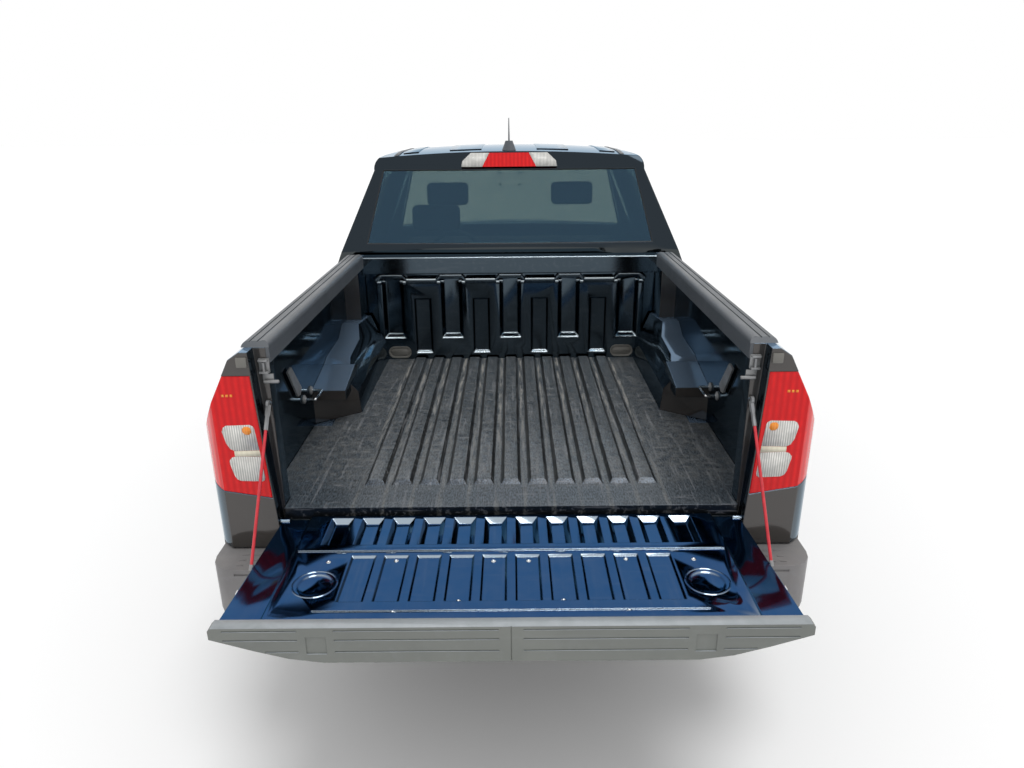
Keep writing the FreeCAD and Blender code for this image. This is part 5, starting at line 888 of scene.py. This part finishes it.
tick_dark = finish("tick_dark", (0.05, 0.055, 0.06, 1), 0.5, grained=0.2)


def cut_through(form, place, across, clear_outer=False):
    """Cuts a mesh along a plane, and takes away what lies past it where that is asked."""
    bmesh.ops.bisect_plane(form, geom=form.verts[:] + form.edges[:] + form.faces[:], dist=CUT_CLOSE,
                           plane_co=place, plane_no=across, clear_outer=clear_outer)


def overlay(name, node, cuts, keep, thick, material):
    """A thin piece laid on the faces of a node that pass a test, after cuts along planes."""
    form = merged_copy(node)
    for place, across in cuts:
        cut_through(form, place, across)
    form.normal_update()
    spare = [face for face in form.faces if not keep(face.calc_center_median(), face.normal)]
    bmesh.ops.delete(form, geom=spare, context="FACES")
    form.normal_update()
    for corner in form.verts:
        corner.co -= corner.normal * OVERLAY_SINK
    piece = mesh_piece(name, form, material, nodes[node]["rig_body"], 30, modelled=False)
    skin = piece.modifiers.new("skin", "SOLIDIFY")
    skin.thickness = thick + OVERLAY_SINK
    skin.offset = 1


dressed("tailgate_cap", cap_grey, 0.0018)
cap_probe = BVHTree.FromBMesh(merged_copy("tailgate_cap"))
cap_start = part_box("tailgate_cap")[0].y
overlay("cap_top_band", "tailgate_cap", [], lambda point, normal: normal.z > UPWARD, CAP_TOP_THICK,
        cap_pale)
ticks = bmesh.new()
for turn in range(-TICK_COUNT, TICK_COUNT + 1):
    across = turn * TICK_PITCH
    reach = SHORT_TICK if turn % TICKS_TO_A_LONG_ONE else LONG_TICK
    level = level_under(cap_probe, across + OFF_CENTRE, cap_start + TICK_PROBE)
    add_block(ticks, (across - TICK_HALF, cap_start + TICK_START, level - TICK_SINK),
              (across + TICK_HALF, cap_start + TICK_START + reach, level + TICK_RISE), 0)
mesh_piece("cap_ticks", ticks, tick_dark, "tailgate")

# Rail caps and rear bumper: moulded dark grey plastic over the box rails and a steel beam
# behind the step, the pad on top ribbed for grip.
PAD_RIB_PITCH = 0.034
PAD_RIBS_EACH_WAY = 24
PAD_ROWS = (2.395, 2.425, 2.452)
PAD_LOWEST = 0.69
PAD_RIB_LOW = Vector((-0.010, -0.003, -0.0005))
PAD_RIB_HIGH = Vector((0.010, 0.003, 0.002))
PAD_RIB_EDGE = 0.0008
dressed("rail_caps", trim_plastic, 0.003)
bumper_plastic = finish("bumper_plastic", (0.175, 0.168, 0.170, 1), 0.42, other=(0.15, 0.145, 0.147, 1),
                        drift_scale=6.0, grained=0.35, dusty=0.18, scuffed=0.06)
dressed("rear_bumper", bumper_plastic, 0.006)
bumper_probe = BVHTree.FromBMesh(merged_copy("rear_bumper"))
step_ribs = bmesh.new()
for turn in range(-PAD_RIBS_EACH_WAY, PAD_RIBS_EACH_WAY + 1):
    for along in PAD_ROWS:
        across = turn * PAD_RIB_PITCH
        level = level_under(bumper_probe, across, along)
        if level and level > PAD_LOWEST:
            place = Vector((across, along, level))
            add_block(step_ribs, place + PAD_RIB_LOW, place + PAD_RIB_HIGH, PAD_RIB_EDGE)
mesh_piece("step_pad_ribs", step_ribs, bumper_plastic, "truck", 30)

# Tail lamps: a red moulded lens round each rear corner, with two ribbed clear windows and
# a cream band between them, screwed to the box side.
LENS_THICK = 0.0012
LENS_BLOTCH = 38.0
LENS_SPECULAR = 0.3
LENS_RIB_STRENGTH = 0.25
LENS_RIB_DEEP = 0.0006
ROUND_THE_CORNER = -0.2
UPPER_WINDOW = ((0.846, 1.110), (0.841, 1.123), (0.832, 1.129), (0.762, 1.131), (0.753, 1.126),
                (0.750, 1.118), (0.743, 1.050), (0.816, 1.048), (0.828, 1.054), (0.838, 1.072))
CREAM_BAND = ((0.818, 1.047), (0.743, 1.049), (0.741, 1.029), (0.818, 1.031))
LOWER_WINDOW = ((0.828, 1.026), (0.815, 1.030), (0.742, 1.028), (0.737, 0.960), (0.739, 0.951),
                (0.746, 0.947), (0.810, 0.949), (0.821, 0.955), (0.827, 0.966), (0.836, 1.006),
                (0.836, 1.016))
AMBER_SPOT = ((0.786, 1.118), (0.780, 1.125), (0.768, 1.126), (0.761, 1.121), (0.759, 1.108),
              (0.766, 1.100), (0.778, 1.101), (0.785, 1.108))
AMBER_SPOT_LIFT = 0.0008
GLINT_PLACES = (0.800, 0.812, 0.824)
GLINT_SIZE = 0.007
GLINT_LEVEL = 1.219
GLINT_LIFT = 0.0004


def lens(name, colour, other, rough, ribs):
    """Moulded lens plastic, its reflector ribs showing as fine upright bands."""
    material, surface = bare_material(name)
    tree = material.node_tree
    place = put(tree, "ShaderNodeSeparateXYZ", {0: put(tree, "ShaderNodeTexCoord").outputs["Object"]})
    wave = reckoned(tree, "SINE", times(tree, place.outputs["X"], ribs))
    blotch = used(tree, drift, Scale=LENS_BLOTCH)
    bands = times(tree, window(tree, wave, -1.0, 1.0), window(tree, blotch, 0.0, 1.0, 0.45, 1.0))
    tree.links.new(mixed(tree, bands, colour, other), surface.inputs["Base Color"])
    tree.links.new(window(tree, blotch, 0.0, 1.0, rough, rough + 0.08), surface.inputs["Roughness"])
    surface.inputs["Specular IOR Level"].default_value = LENS_SPECULAR
    bump = put(tree, "ShaderNodeBump", {"Height": wave, "Strength": LENS_RIB_STRENGTH,
                                        "Distance": LENS_RIB_DEEP})
    tree.links.new(bump.outputs[0], surface.inputs["Normal"])
    return material


red_lens = lens("red_lens", (0.56, 0.001, 0.004, 1), (0.74, 0.006, 0.008, 1), 0.08, 330.0)
clear_lens = lens("clear_lens", (0.42, 0.42, 0.40, 1), (0.88, 0.87, 0.83, 1), 0.10, 900.0)
cream_lens = lens("cream_lens", (0.70, 0.66, 0.52, 1), (0.76, 0.72, 0.58, 1), 0.2, 400.0)
amber_lens = lens("amber_lens", (0.85, 0.25, 0.03, 1), (0.9, 0.42, 0.08, 1), 0.12, 800.0)
dressed("tail_lamps", red_lens, 0.004, 38)


def outline_cuts(side, corners):
    """Planes along Y through the sides of an outline, given as (x, z) pairs in a turn."""
    places = [Vector((side * across, 0, level)) for across, level in corners]
    middle = sum(places, Vector()) / len(places)
    cuts = []
    for start, end in zip(places, places[1:] + places[:1]):
        across = (end - start).cross(Vector((0, 1, 0))).normalized()
        if across.dot(middle - start) > 0:
            across.negate()
        cuts.append((start, across))
    return cuts


def among(cuts, side, least_rearward):
    """A test for faces on one side of the truck, within cuts and turned far enough rearward."""
    return lambda point, normal: (side * point.x > 0 and normal.y > least_rearward
                                  and all((point - place).dot(across) < 0 for place, across in cuts))


lamp_windows = [("clear_upper", clear_lens, 0, UPPER_WINDOW), ("cream_band", cream_lens, 0, CREAM_BAND),
                ("clear_lower", clear_lens, 0, LOWER_WINDOW)]
for spot, across in enumerate(GLINT_PLACES):
    glint = ((across, GLINT_LEVEL), (across, GLINT_LEVEL + GLINT_SIZE),
             (across + GLINT_SIZE, GLINT_LEVEL + GLINT_SIZE), (across + GLINT_SIZE, GLINT_LEVEL))
    lamp_windows.append((f"glint_{spot}", amber_lens, GLINT_LIFT, glint))
lamp_windows.append(("amber_spot", amber_lens, AMBER_SPOT_LIFT, AMBER_SPOT))
for label, side in SIDES:
    for title, glassy, lift, corners in lamp_windows:
        cuts = outline_cuts(side, corners)
        overlay(f"lamp_{title}_{label}", "tail_lamps", cuts, among(cuts, side, ROUND_THE_CORNER),
                LENS_THICK + lift, glassy)

# High brake lamp above the rear window: a red lens between two clear cargo lights, in one
# housing screwed into the roof's rear edge.
RED_HALF = 0.098
RED_SLANT = 0.55
LAMP_END_RISE = 0.022
LAMP_END_SLANT = 0.9
REARWARD = 0.1
lamp_low, lamp_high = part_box("top_lamp")
lamp_form = merged_copy("top_lamp")
end_planes = [(Vector((side * lamp_high.x, 0, lamp_low.z + LAMP_END_RISE)),
               Vector((side * LAMP_END_SLANT, 0, 1)).normalized()) for side in (1, -1)]
for place, across in end_planes:
    cut_through(lamp_form, place, across, clear_outer=True)
    bmesh.ops.holes_fill(lamp_form, edges=lamp_form.edges[:])
brake_lens = mesh_piece("brake_lamp_lens", lamp_form, red_lens, "truck", 30)
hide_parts("top_lamp")
for label, side in SIDES:
    slant = (Vector((side * RED_HALF, 0, lamp_high.z)), -Vector((side, 0, RED_SLANT)).normalized())
    cuts = end_planes + [slant]
    overlay("cargo_light_" + label, "top_lamp", cuts, among(cuts, side, REARWARD), LENS_THICK, clear_lens)

# Glass: laminated and toughened sheets, tinted dark at the back, bonded into the openings
# with a black rubber seal round each edge.
TINT_SHINE = (0.33, 0.65, 1, 1)
TINT_IOR = 1.75
TINTED_PANES = ("rear_window", "door_glass_front_left", "door_glass_front_right",
                "door_glass_rear_left", "door_glass_rear_right")
CAB_MIDDLE = -0.25
SEAL_RADIUS = 0.0045
OUTER_FACE_SHARE = 0.02
OUTWARD = 0.2


def glazed(name, colour, other, panes):
    """Clear smooth glass, its colour drifting slightly, put on panes of the solid model."""
    material, surface = bare_material(name)
    tree = material.node_tree
    shade = mixed(tree, used(tree, drift, Scale=1.5), colour, other)
    tree.links.new(shade, surface.inputs["Base Color"])
    surface.inputs["Transmission Weight"].default_value = 1
    surface.inputs["Roughness"].default_value = 0
    for pane in panes:
        nodes[pane].data.materials.clear()
        nodes[pane].data.materials.append(material)
    return surface


tinted = glazed("tinted_glass", (0.115, 0.140, 0.120, 1), (0.100, 0.125, 0.108, 1), TINTED_PANES)
# The tinted panes' reflections are turned blue by TINT_SHINE, a painted sky reflection.
tinted.inputs["Specular Tint"].default_value = TINT_SHINE
tinted.inputs["Specular IOR Level"].default_value = 1
tinted.inputs["IOR"].default_value = TINT_IOR
glazed("windshield_glass", (0.66, 0.76, 0.74, 1), (0.62, 0.73, 0.71, 1), ["windshield"])
rubber = finish("seal_rubber", (0.012, 0.012, 0.013, 1), 0.5, grained=0.2)
for pane in (*TINTED_PANES, "windshield"):
    form = merged_copy(pane)
    middle = sum((corner.co for corner in form.verts), Vector()) / len(form.verts)
    outward = (middle - Vector((0, CAB_MIDDLE, middle.z))).normalized()
    smallest = OUTER_FACE_SHARE * max(face.calc_area() for face in form.faces)
    outer = {face for face in form.faces
             if face.calc_area() > smallest and face.normal.dot(outward) > OUTWARD}
    cords = bmesh.new()
    for edge in form.edges:
        if sum(face in outer for face in edge.link_faces) == 1:
            add_rod(cords, *(corner.co for corner in edge.verts), SEAL_RADIUS, 8)
    form.free()
    mesh_piece("seal_" + pane, cords, rubber, nodes[pane]["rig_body"], 50)

# Roof: five pressed panels stepped a few millimetres against each other, with a moulded
# strip clipped into the ditch at each side.
ROOF_STEP = 0.0035
ROOF_PANELS = (("left", 0.14, 0.30), ("right", -0.30, -0.14), ("outer_left", 0.46, 0.535),
               ("outer_right", -0.535, -0.46))
PANEL_FRONT = (-0.45, 1.76)
PANEL_REAR = (0.44, 1.86)
STRIP_THICK = 0.004
STRIP_FRONT = (0.552, -0.50, 1.70)
STRIP_REAR = (0.572, 0.60, 1.86)
STRIP_UPWARD = 0.5


def box_overlay(name, node, low, high, least_upward, thick, material):
    """An overlay on those faces of a node that lie in a box and are turned far enough up."""
    axes = [Vector((1, 0, 0)), Vector((0, 1, 0)), Vector((0, 0, 1))]
    overlay(name, node, [(corner, axis) for corner in (low, high) for axis in axes],
            lambda point, normal: (all(low[axis] <= point[axis] <= high[axis] for axis in range(3))
                                   and normal.z > least_upward), thick, material)


for label, low, high in ROOF_PANELS:
    box_overlay("roof_rib_" + label, "cab_shell", Vector((low, *PANEL_FRONT)), Vector((high, *PANEL_REAR)),
                UPWARD, ROOF_STEP, body_paint)
for label, side in SIDES:
    ends = sorted((side * STRIP_FRONT[0], side * STRIP_REAR[0]))
    box_overlay("roof_strip_" + label, "cab_shell", Vector((ends[0], *STRIP_FRONT[1:])),
                Vector((ends[1], *STRIP_REAR[1:])), STRIP_UPWARD, STRIP_THICK, trim_plastic)
dressed("antenna", trim_plastic, 0.001)

# Door handles and mirrors: painted pull handles held off the doors by their two feet, and
# silvered glass set into the painted mirror housings.
DOOR_ENDS = (("door_front", -0.26), ("door_rear", 0.475))
HANDLE_LEVEL = 1.075
HANDLE_HALF = 0.085
HANDLE_HALF_HIGH = 0.015
HANDLE_NEAR = 0.017
HANDLE_FAR = 0.032
HANDLE_EDGE = 0.006
FOOT_INSET = 0.018
FOOT_HALF = 0.016
FOOT_HALF_HIGH = 0.012
FOOT_SINK = 0.006
FOOT_REACH = 0.024
FOOT_EDGE = 0.004
MIRROR_GLASS_THICK = 0.001
MIRROR_GLASS_BAND = 0.03
for label, side in SIDES:
    for door, along in DOOR_ENDS:
        probe = BVHTree.FromBMesh(merged_copy(f"{door}_{label}"))
        handle = bmesh.new()
        beside = Vector((side * CLEAR_OF_TRUCK, along, HANDLE_LEVEL))
        skin = abs(probe.ray_cast(beside, Vector((-side, 0, 0)))[0].x)
        place = Vector((skin, along, HANDLE_LEVEL))
        add_side_block(handle, side, place + Vector((HANDLE_NEAR, -HANDLE_HALF, -HANDLE_HALF_HIGH)),
                       place + Vector((HANDLE_FAR, HANDLE_HALF, HANDLE_HALF_HIGH)), HANDLE_EDGE, 3)
        for end in (-1, 1):
            place.y = along + end * (HANDLE_HALF - FOOT_INSET)
            add_side_block(handle, side, place - Vector((FOOT_SINK, FOOT_HALF, FOOT_HALF_HIGH)),
                           place + Vector((FOOT_REACH, FOOT_HALF, FOOT_HALF_HIGH)), FOOT_EDGE, 3)
        mesh_piece(f"handle_{door}_{label}", handle, body_paint, f"{door}_{label}", 40)
    dressed("mirror_" + label, body_paint, 0.012, 50)
    glass_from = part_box("mirror_" + label)[1].y - MIRROR_GLASS_BAND
    overlay("mirror_glass_" + label, "mirror_" + label, [],
            lambda point, normal: normal.y > FACING and point.y > glass_from, MIRROR_GLASS_THICK, chrome)

# Front end: a moulded bumper and slatted grille in grey-black plastic, and wrap-round head
# lamps with a clear cover over bright bowls, bolted to the front panel.
BOWL_PLACES = ((0.66, 0.892, 0.058), (0.80, 0.886, 0.046))
BOWL_SINK = -0.003
AMBER_CORNER = ((0.86, 0.79), (0.935, 0.79), (0.935, 0.99), (0.90, 0.99))
AMBER_INNER = 0.882
AMBER_REARMOST = 0.3
dressed("front_bumper", trim_plastic, 0.005)
dressed("grille", trim_plastic, 0.003)
head_lens = lens("head_lamp_lens", (0.10, 0.11, 0.12, 1), (0.34, 0.36, 0.38, 1), 0.05, 60.0)
dressed("head_lamps", head_lens, 0.004, 38)
lamp_dark = finish("lamp_dark", (0.012, 0.012, 0.014, 1), 0.15, coat=0.5)
lamp_probe = BVHTree.FromBMesh(merged_copy("head_lamps"))
for label, side in SIDES:
    bowls, pupils = bmesh.new(), bmesh.new()
    for across, level, radius in BOWL_PLACES:
        ahead = Vector((side * across, -2 * CLEAR_OF_TRUCK, level))
        spot, outward = lamp_probe.ray_cast(ahead, Vector((0, 1, 0)))[:2]
        add_turned(bowls, [(radius, BOWL_SINK), (radius, 0.001), (radius - 0.004, 0.002),
                           (radius * 0.62, -0.0004), (radius * 0.58, 0.0012), (radius * 0.5, 0.0012)],
                   spot, outward, 48)
        add_turned(pupils, [(0, 0.0024), (radius * 0.3, 0.0022), (radius * 0.5, 0.0008),
                            (radius * 0.5, BOWL_SINK)], spot, outward, 40)
    mesh_piece("head_lamp_bowls_" + label, bowls, chrome, "truck", 50)
    mesh_piece("head_lamp_pupils_" + label, pupils, lamp_dark, "truck", 50)
    overlay("turn_lamp_" + label, "head_lamps", outline_cuts(side, AMBER_CORNER),
            lambda point, normal: side * point.x > AMBER_INNER and normal.y < AMBER_REARMOST, LENS_THICK,
            amber_lens)

# Cabin: cloth-covered foam seats on steel bases, a moulded plastic dashboard and a
# leather-rimmed steering wheel, bolted to the cab floor and its cross beam.
SEAT_LOW = 0.66
SEAT_HIGH = 0.85
PAD_ROUNDING = 0.045
PAD_CROWN = 0.02
PAD_LAP = 0.02
BACK_HALF_THICK = 0.055
BACK_WIDTH_SHARE = 0.96
BASE_SEAMS = (-0.55, 0.0, 0.5)
BACK_SEAMS = (-0.5, 0.0, 0.5)
REST_HALF = (0.125, 0.04, 0.065)
REST_RISE = 0.085
REST_ROUNDING = 0.03
REST_CROWN = 0.012
CUSHION_CUTS = 13
SEAM_DEEP = 0.006
SEAM_SPREAD_SHARE = 0.06
OUTER_SHARE = 0.99
BACK_CROWN_SHARE = 0.4
SIDE_PULL_SHARE = 0.02
seat_cloth = finish("seat_cloth", (0.045, 0.047, 0.05, 1), 0.85, other=(0.03, 0.031, 0.034, 1),
                    drift_scale=10.0, grained=0.25, grain_scale=300.0)
cabin_plastic = finish("cabin_plastic", (0.03, 0.03, 0.032, 1), 0.55, grained=0.12, grain_scale=300.0)
dressed("dashboard", cabin_plastic, 0.012)
dressed("steering_wheel", cabin_plastic, 0.003)


def add_cushion(form, middle, half, rounding, crown, lean=0.0, seams=()):
    """Adds a crowned pad with rounded edges and sewn seams across its face."""
    start = set(form.verts)
    bmesh.ops.create_cube(form, size=2)
    fresh = [edge for edge in form.edges if not set(edge.verts) & start]
    bmesh.ops.subdivide_edges(form, edges=fresh, cuts=CUSHION_CUTS, use_grid_fill=True)
    turn = Matrix.Rotation(lean, 3, "X")
    half = Vector(half)
    for corner in [corner for corner in form.verts if corner not in start]:
        share = corner.co.copy()
        point = Vector(part * reach for part, reach in zip(share, half))
        core = Vector(max(min(part, reach - rounding), rounding - reach)
                      for part, reach in zip(point, half))
        arm = point - core
        if arm.length:
            point = core + arm.normalized() * rounding
        swell = crown * (1 - share.x ** 2) * (1 - share.z ** 2)
        if share.y > OUTER_SHARE:
            point.y += swell
        if share.y < -OUTER_SHARE:
            point.y -= swell * BACK_CROWN_SHARE
        if abs(share.x) > OUTER_SHARE:
            point.x -= math.copysign(SIDE_PULL_SHARE * (1 - share.z ** 2) * half.x, share.x)
        if share.y > 0:
            for seam in seams:
                point.y -= SEAM_DEEP * math.exp(-((share.z - seam) / SEAM_SPREAD_SHARE) ** 2)
        corner.co = turn @ point + Vector(middle)


def seat(name, centre, middle, width, length, back_top, lean, rests):
    """One seat: its cushion lies turned on its back, and the backrest stands up, leaning."""
    pads = bmesh.new()
    add_cushion(pads, (0, 0, 0), (width / 2, (SEAT_HIGH - SEAT_LOW) / 2, length / 2), PAD_ROUNDING,
                PAD_CROWN, seams=BASE_SEAMS)
    bmesh.ops.rotate(pads, verts=pads.verts, matrix=Matrix.Rotation(math.radians(90), 3, "X"),
                     cent=(0, 0, 0))
    bmesh.ops.translate(pads, verts=pads.verts, vec=(centre, middle, (SEAT_LOW + SEAT_HIGH) / 2))
    rise = back_top - SEAT_HIGH
    behind = middle + length / 2
    add_cushion(pads, (centre, behind - PAD_LAP + lean / 2, SEAT_HIGH + rise / 2 - PAD_LAP),
                (width / 2 * BACK_WIDTH_SHARE, BACK_HALF_THICK, rise / 2 + PAD_LAP), PAD_ROUNDING,
                PAD_CROWN, math.pi - math.atan2(lean, rise), BACK_SEAMS)
    for across in rests:
        add_cushion(pads, (centre + across, behind + lean, back_top + REST_RISE), REST_HALF,
                    REST_ROUNDING, REST_CROWN)
    piece = mesh_piece(name, pads, seat_cloth, "truck", 60)
    return piece


front_pads = [seat("seat_front_" + label, centre=side * 0.370, middle=-0.565, width=0.48, length=0.48,
                   back_top=1.46, lean=0.15, rests=(0,)) for label, side in SIDES]
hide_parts("front_seats")
rear_pad = seat("seat_rear", centre=0, middle=0.165, width=1.22, length=0.46, back_top=1.40, lean=0.07,
                rests=(-0.38, 0.38))
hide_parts("rear_seat")
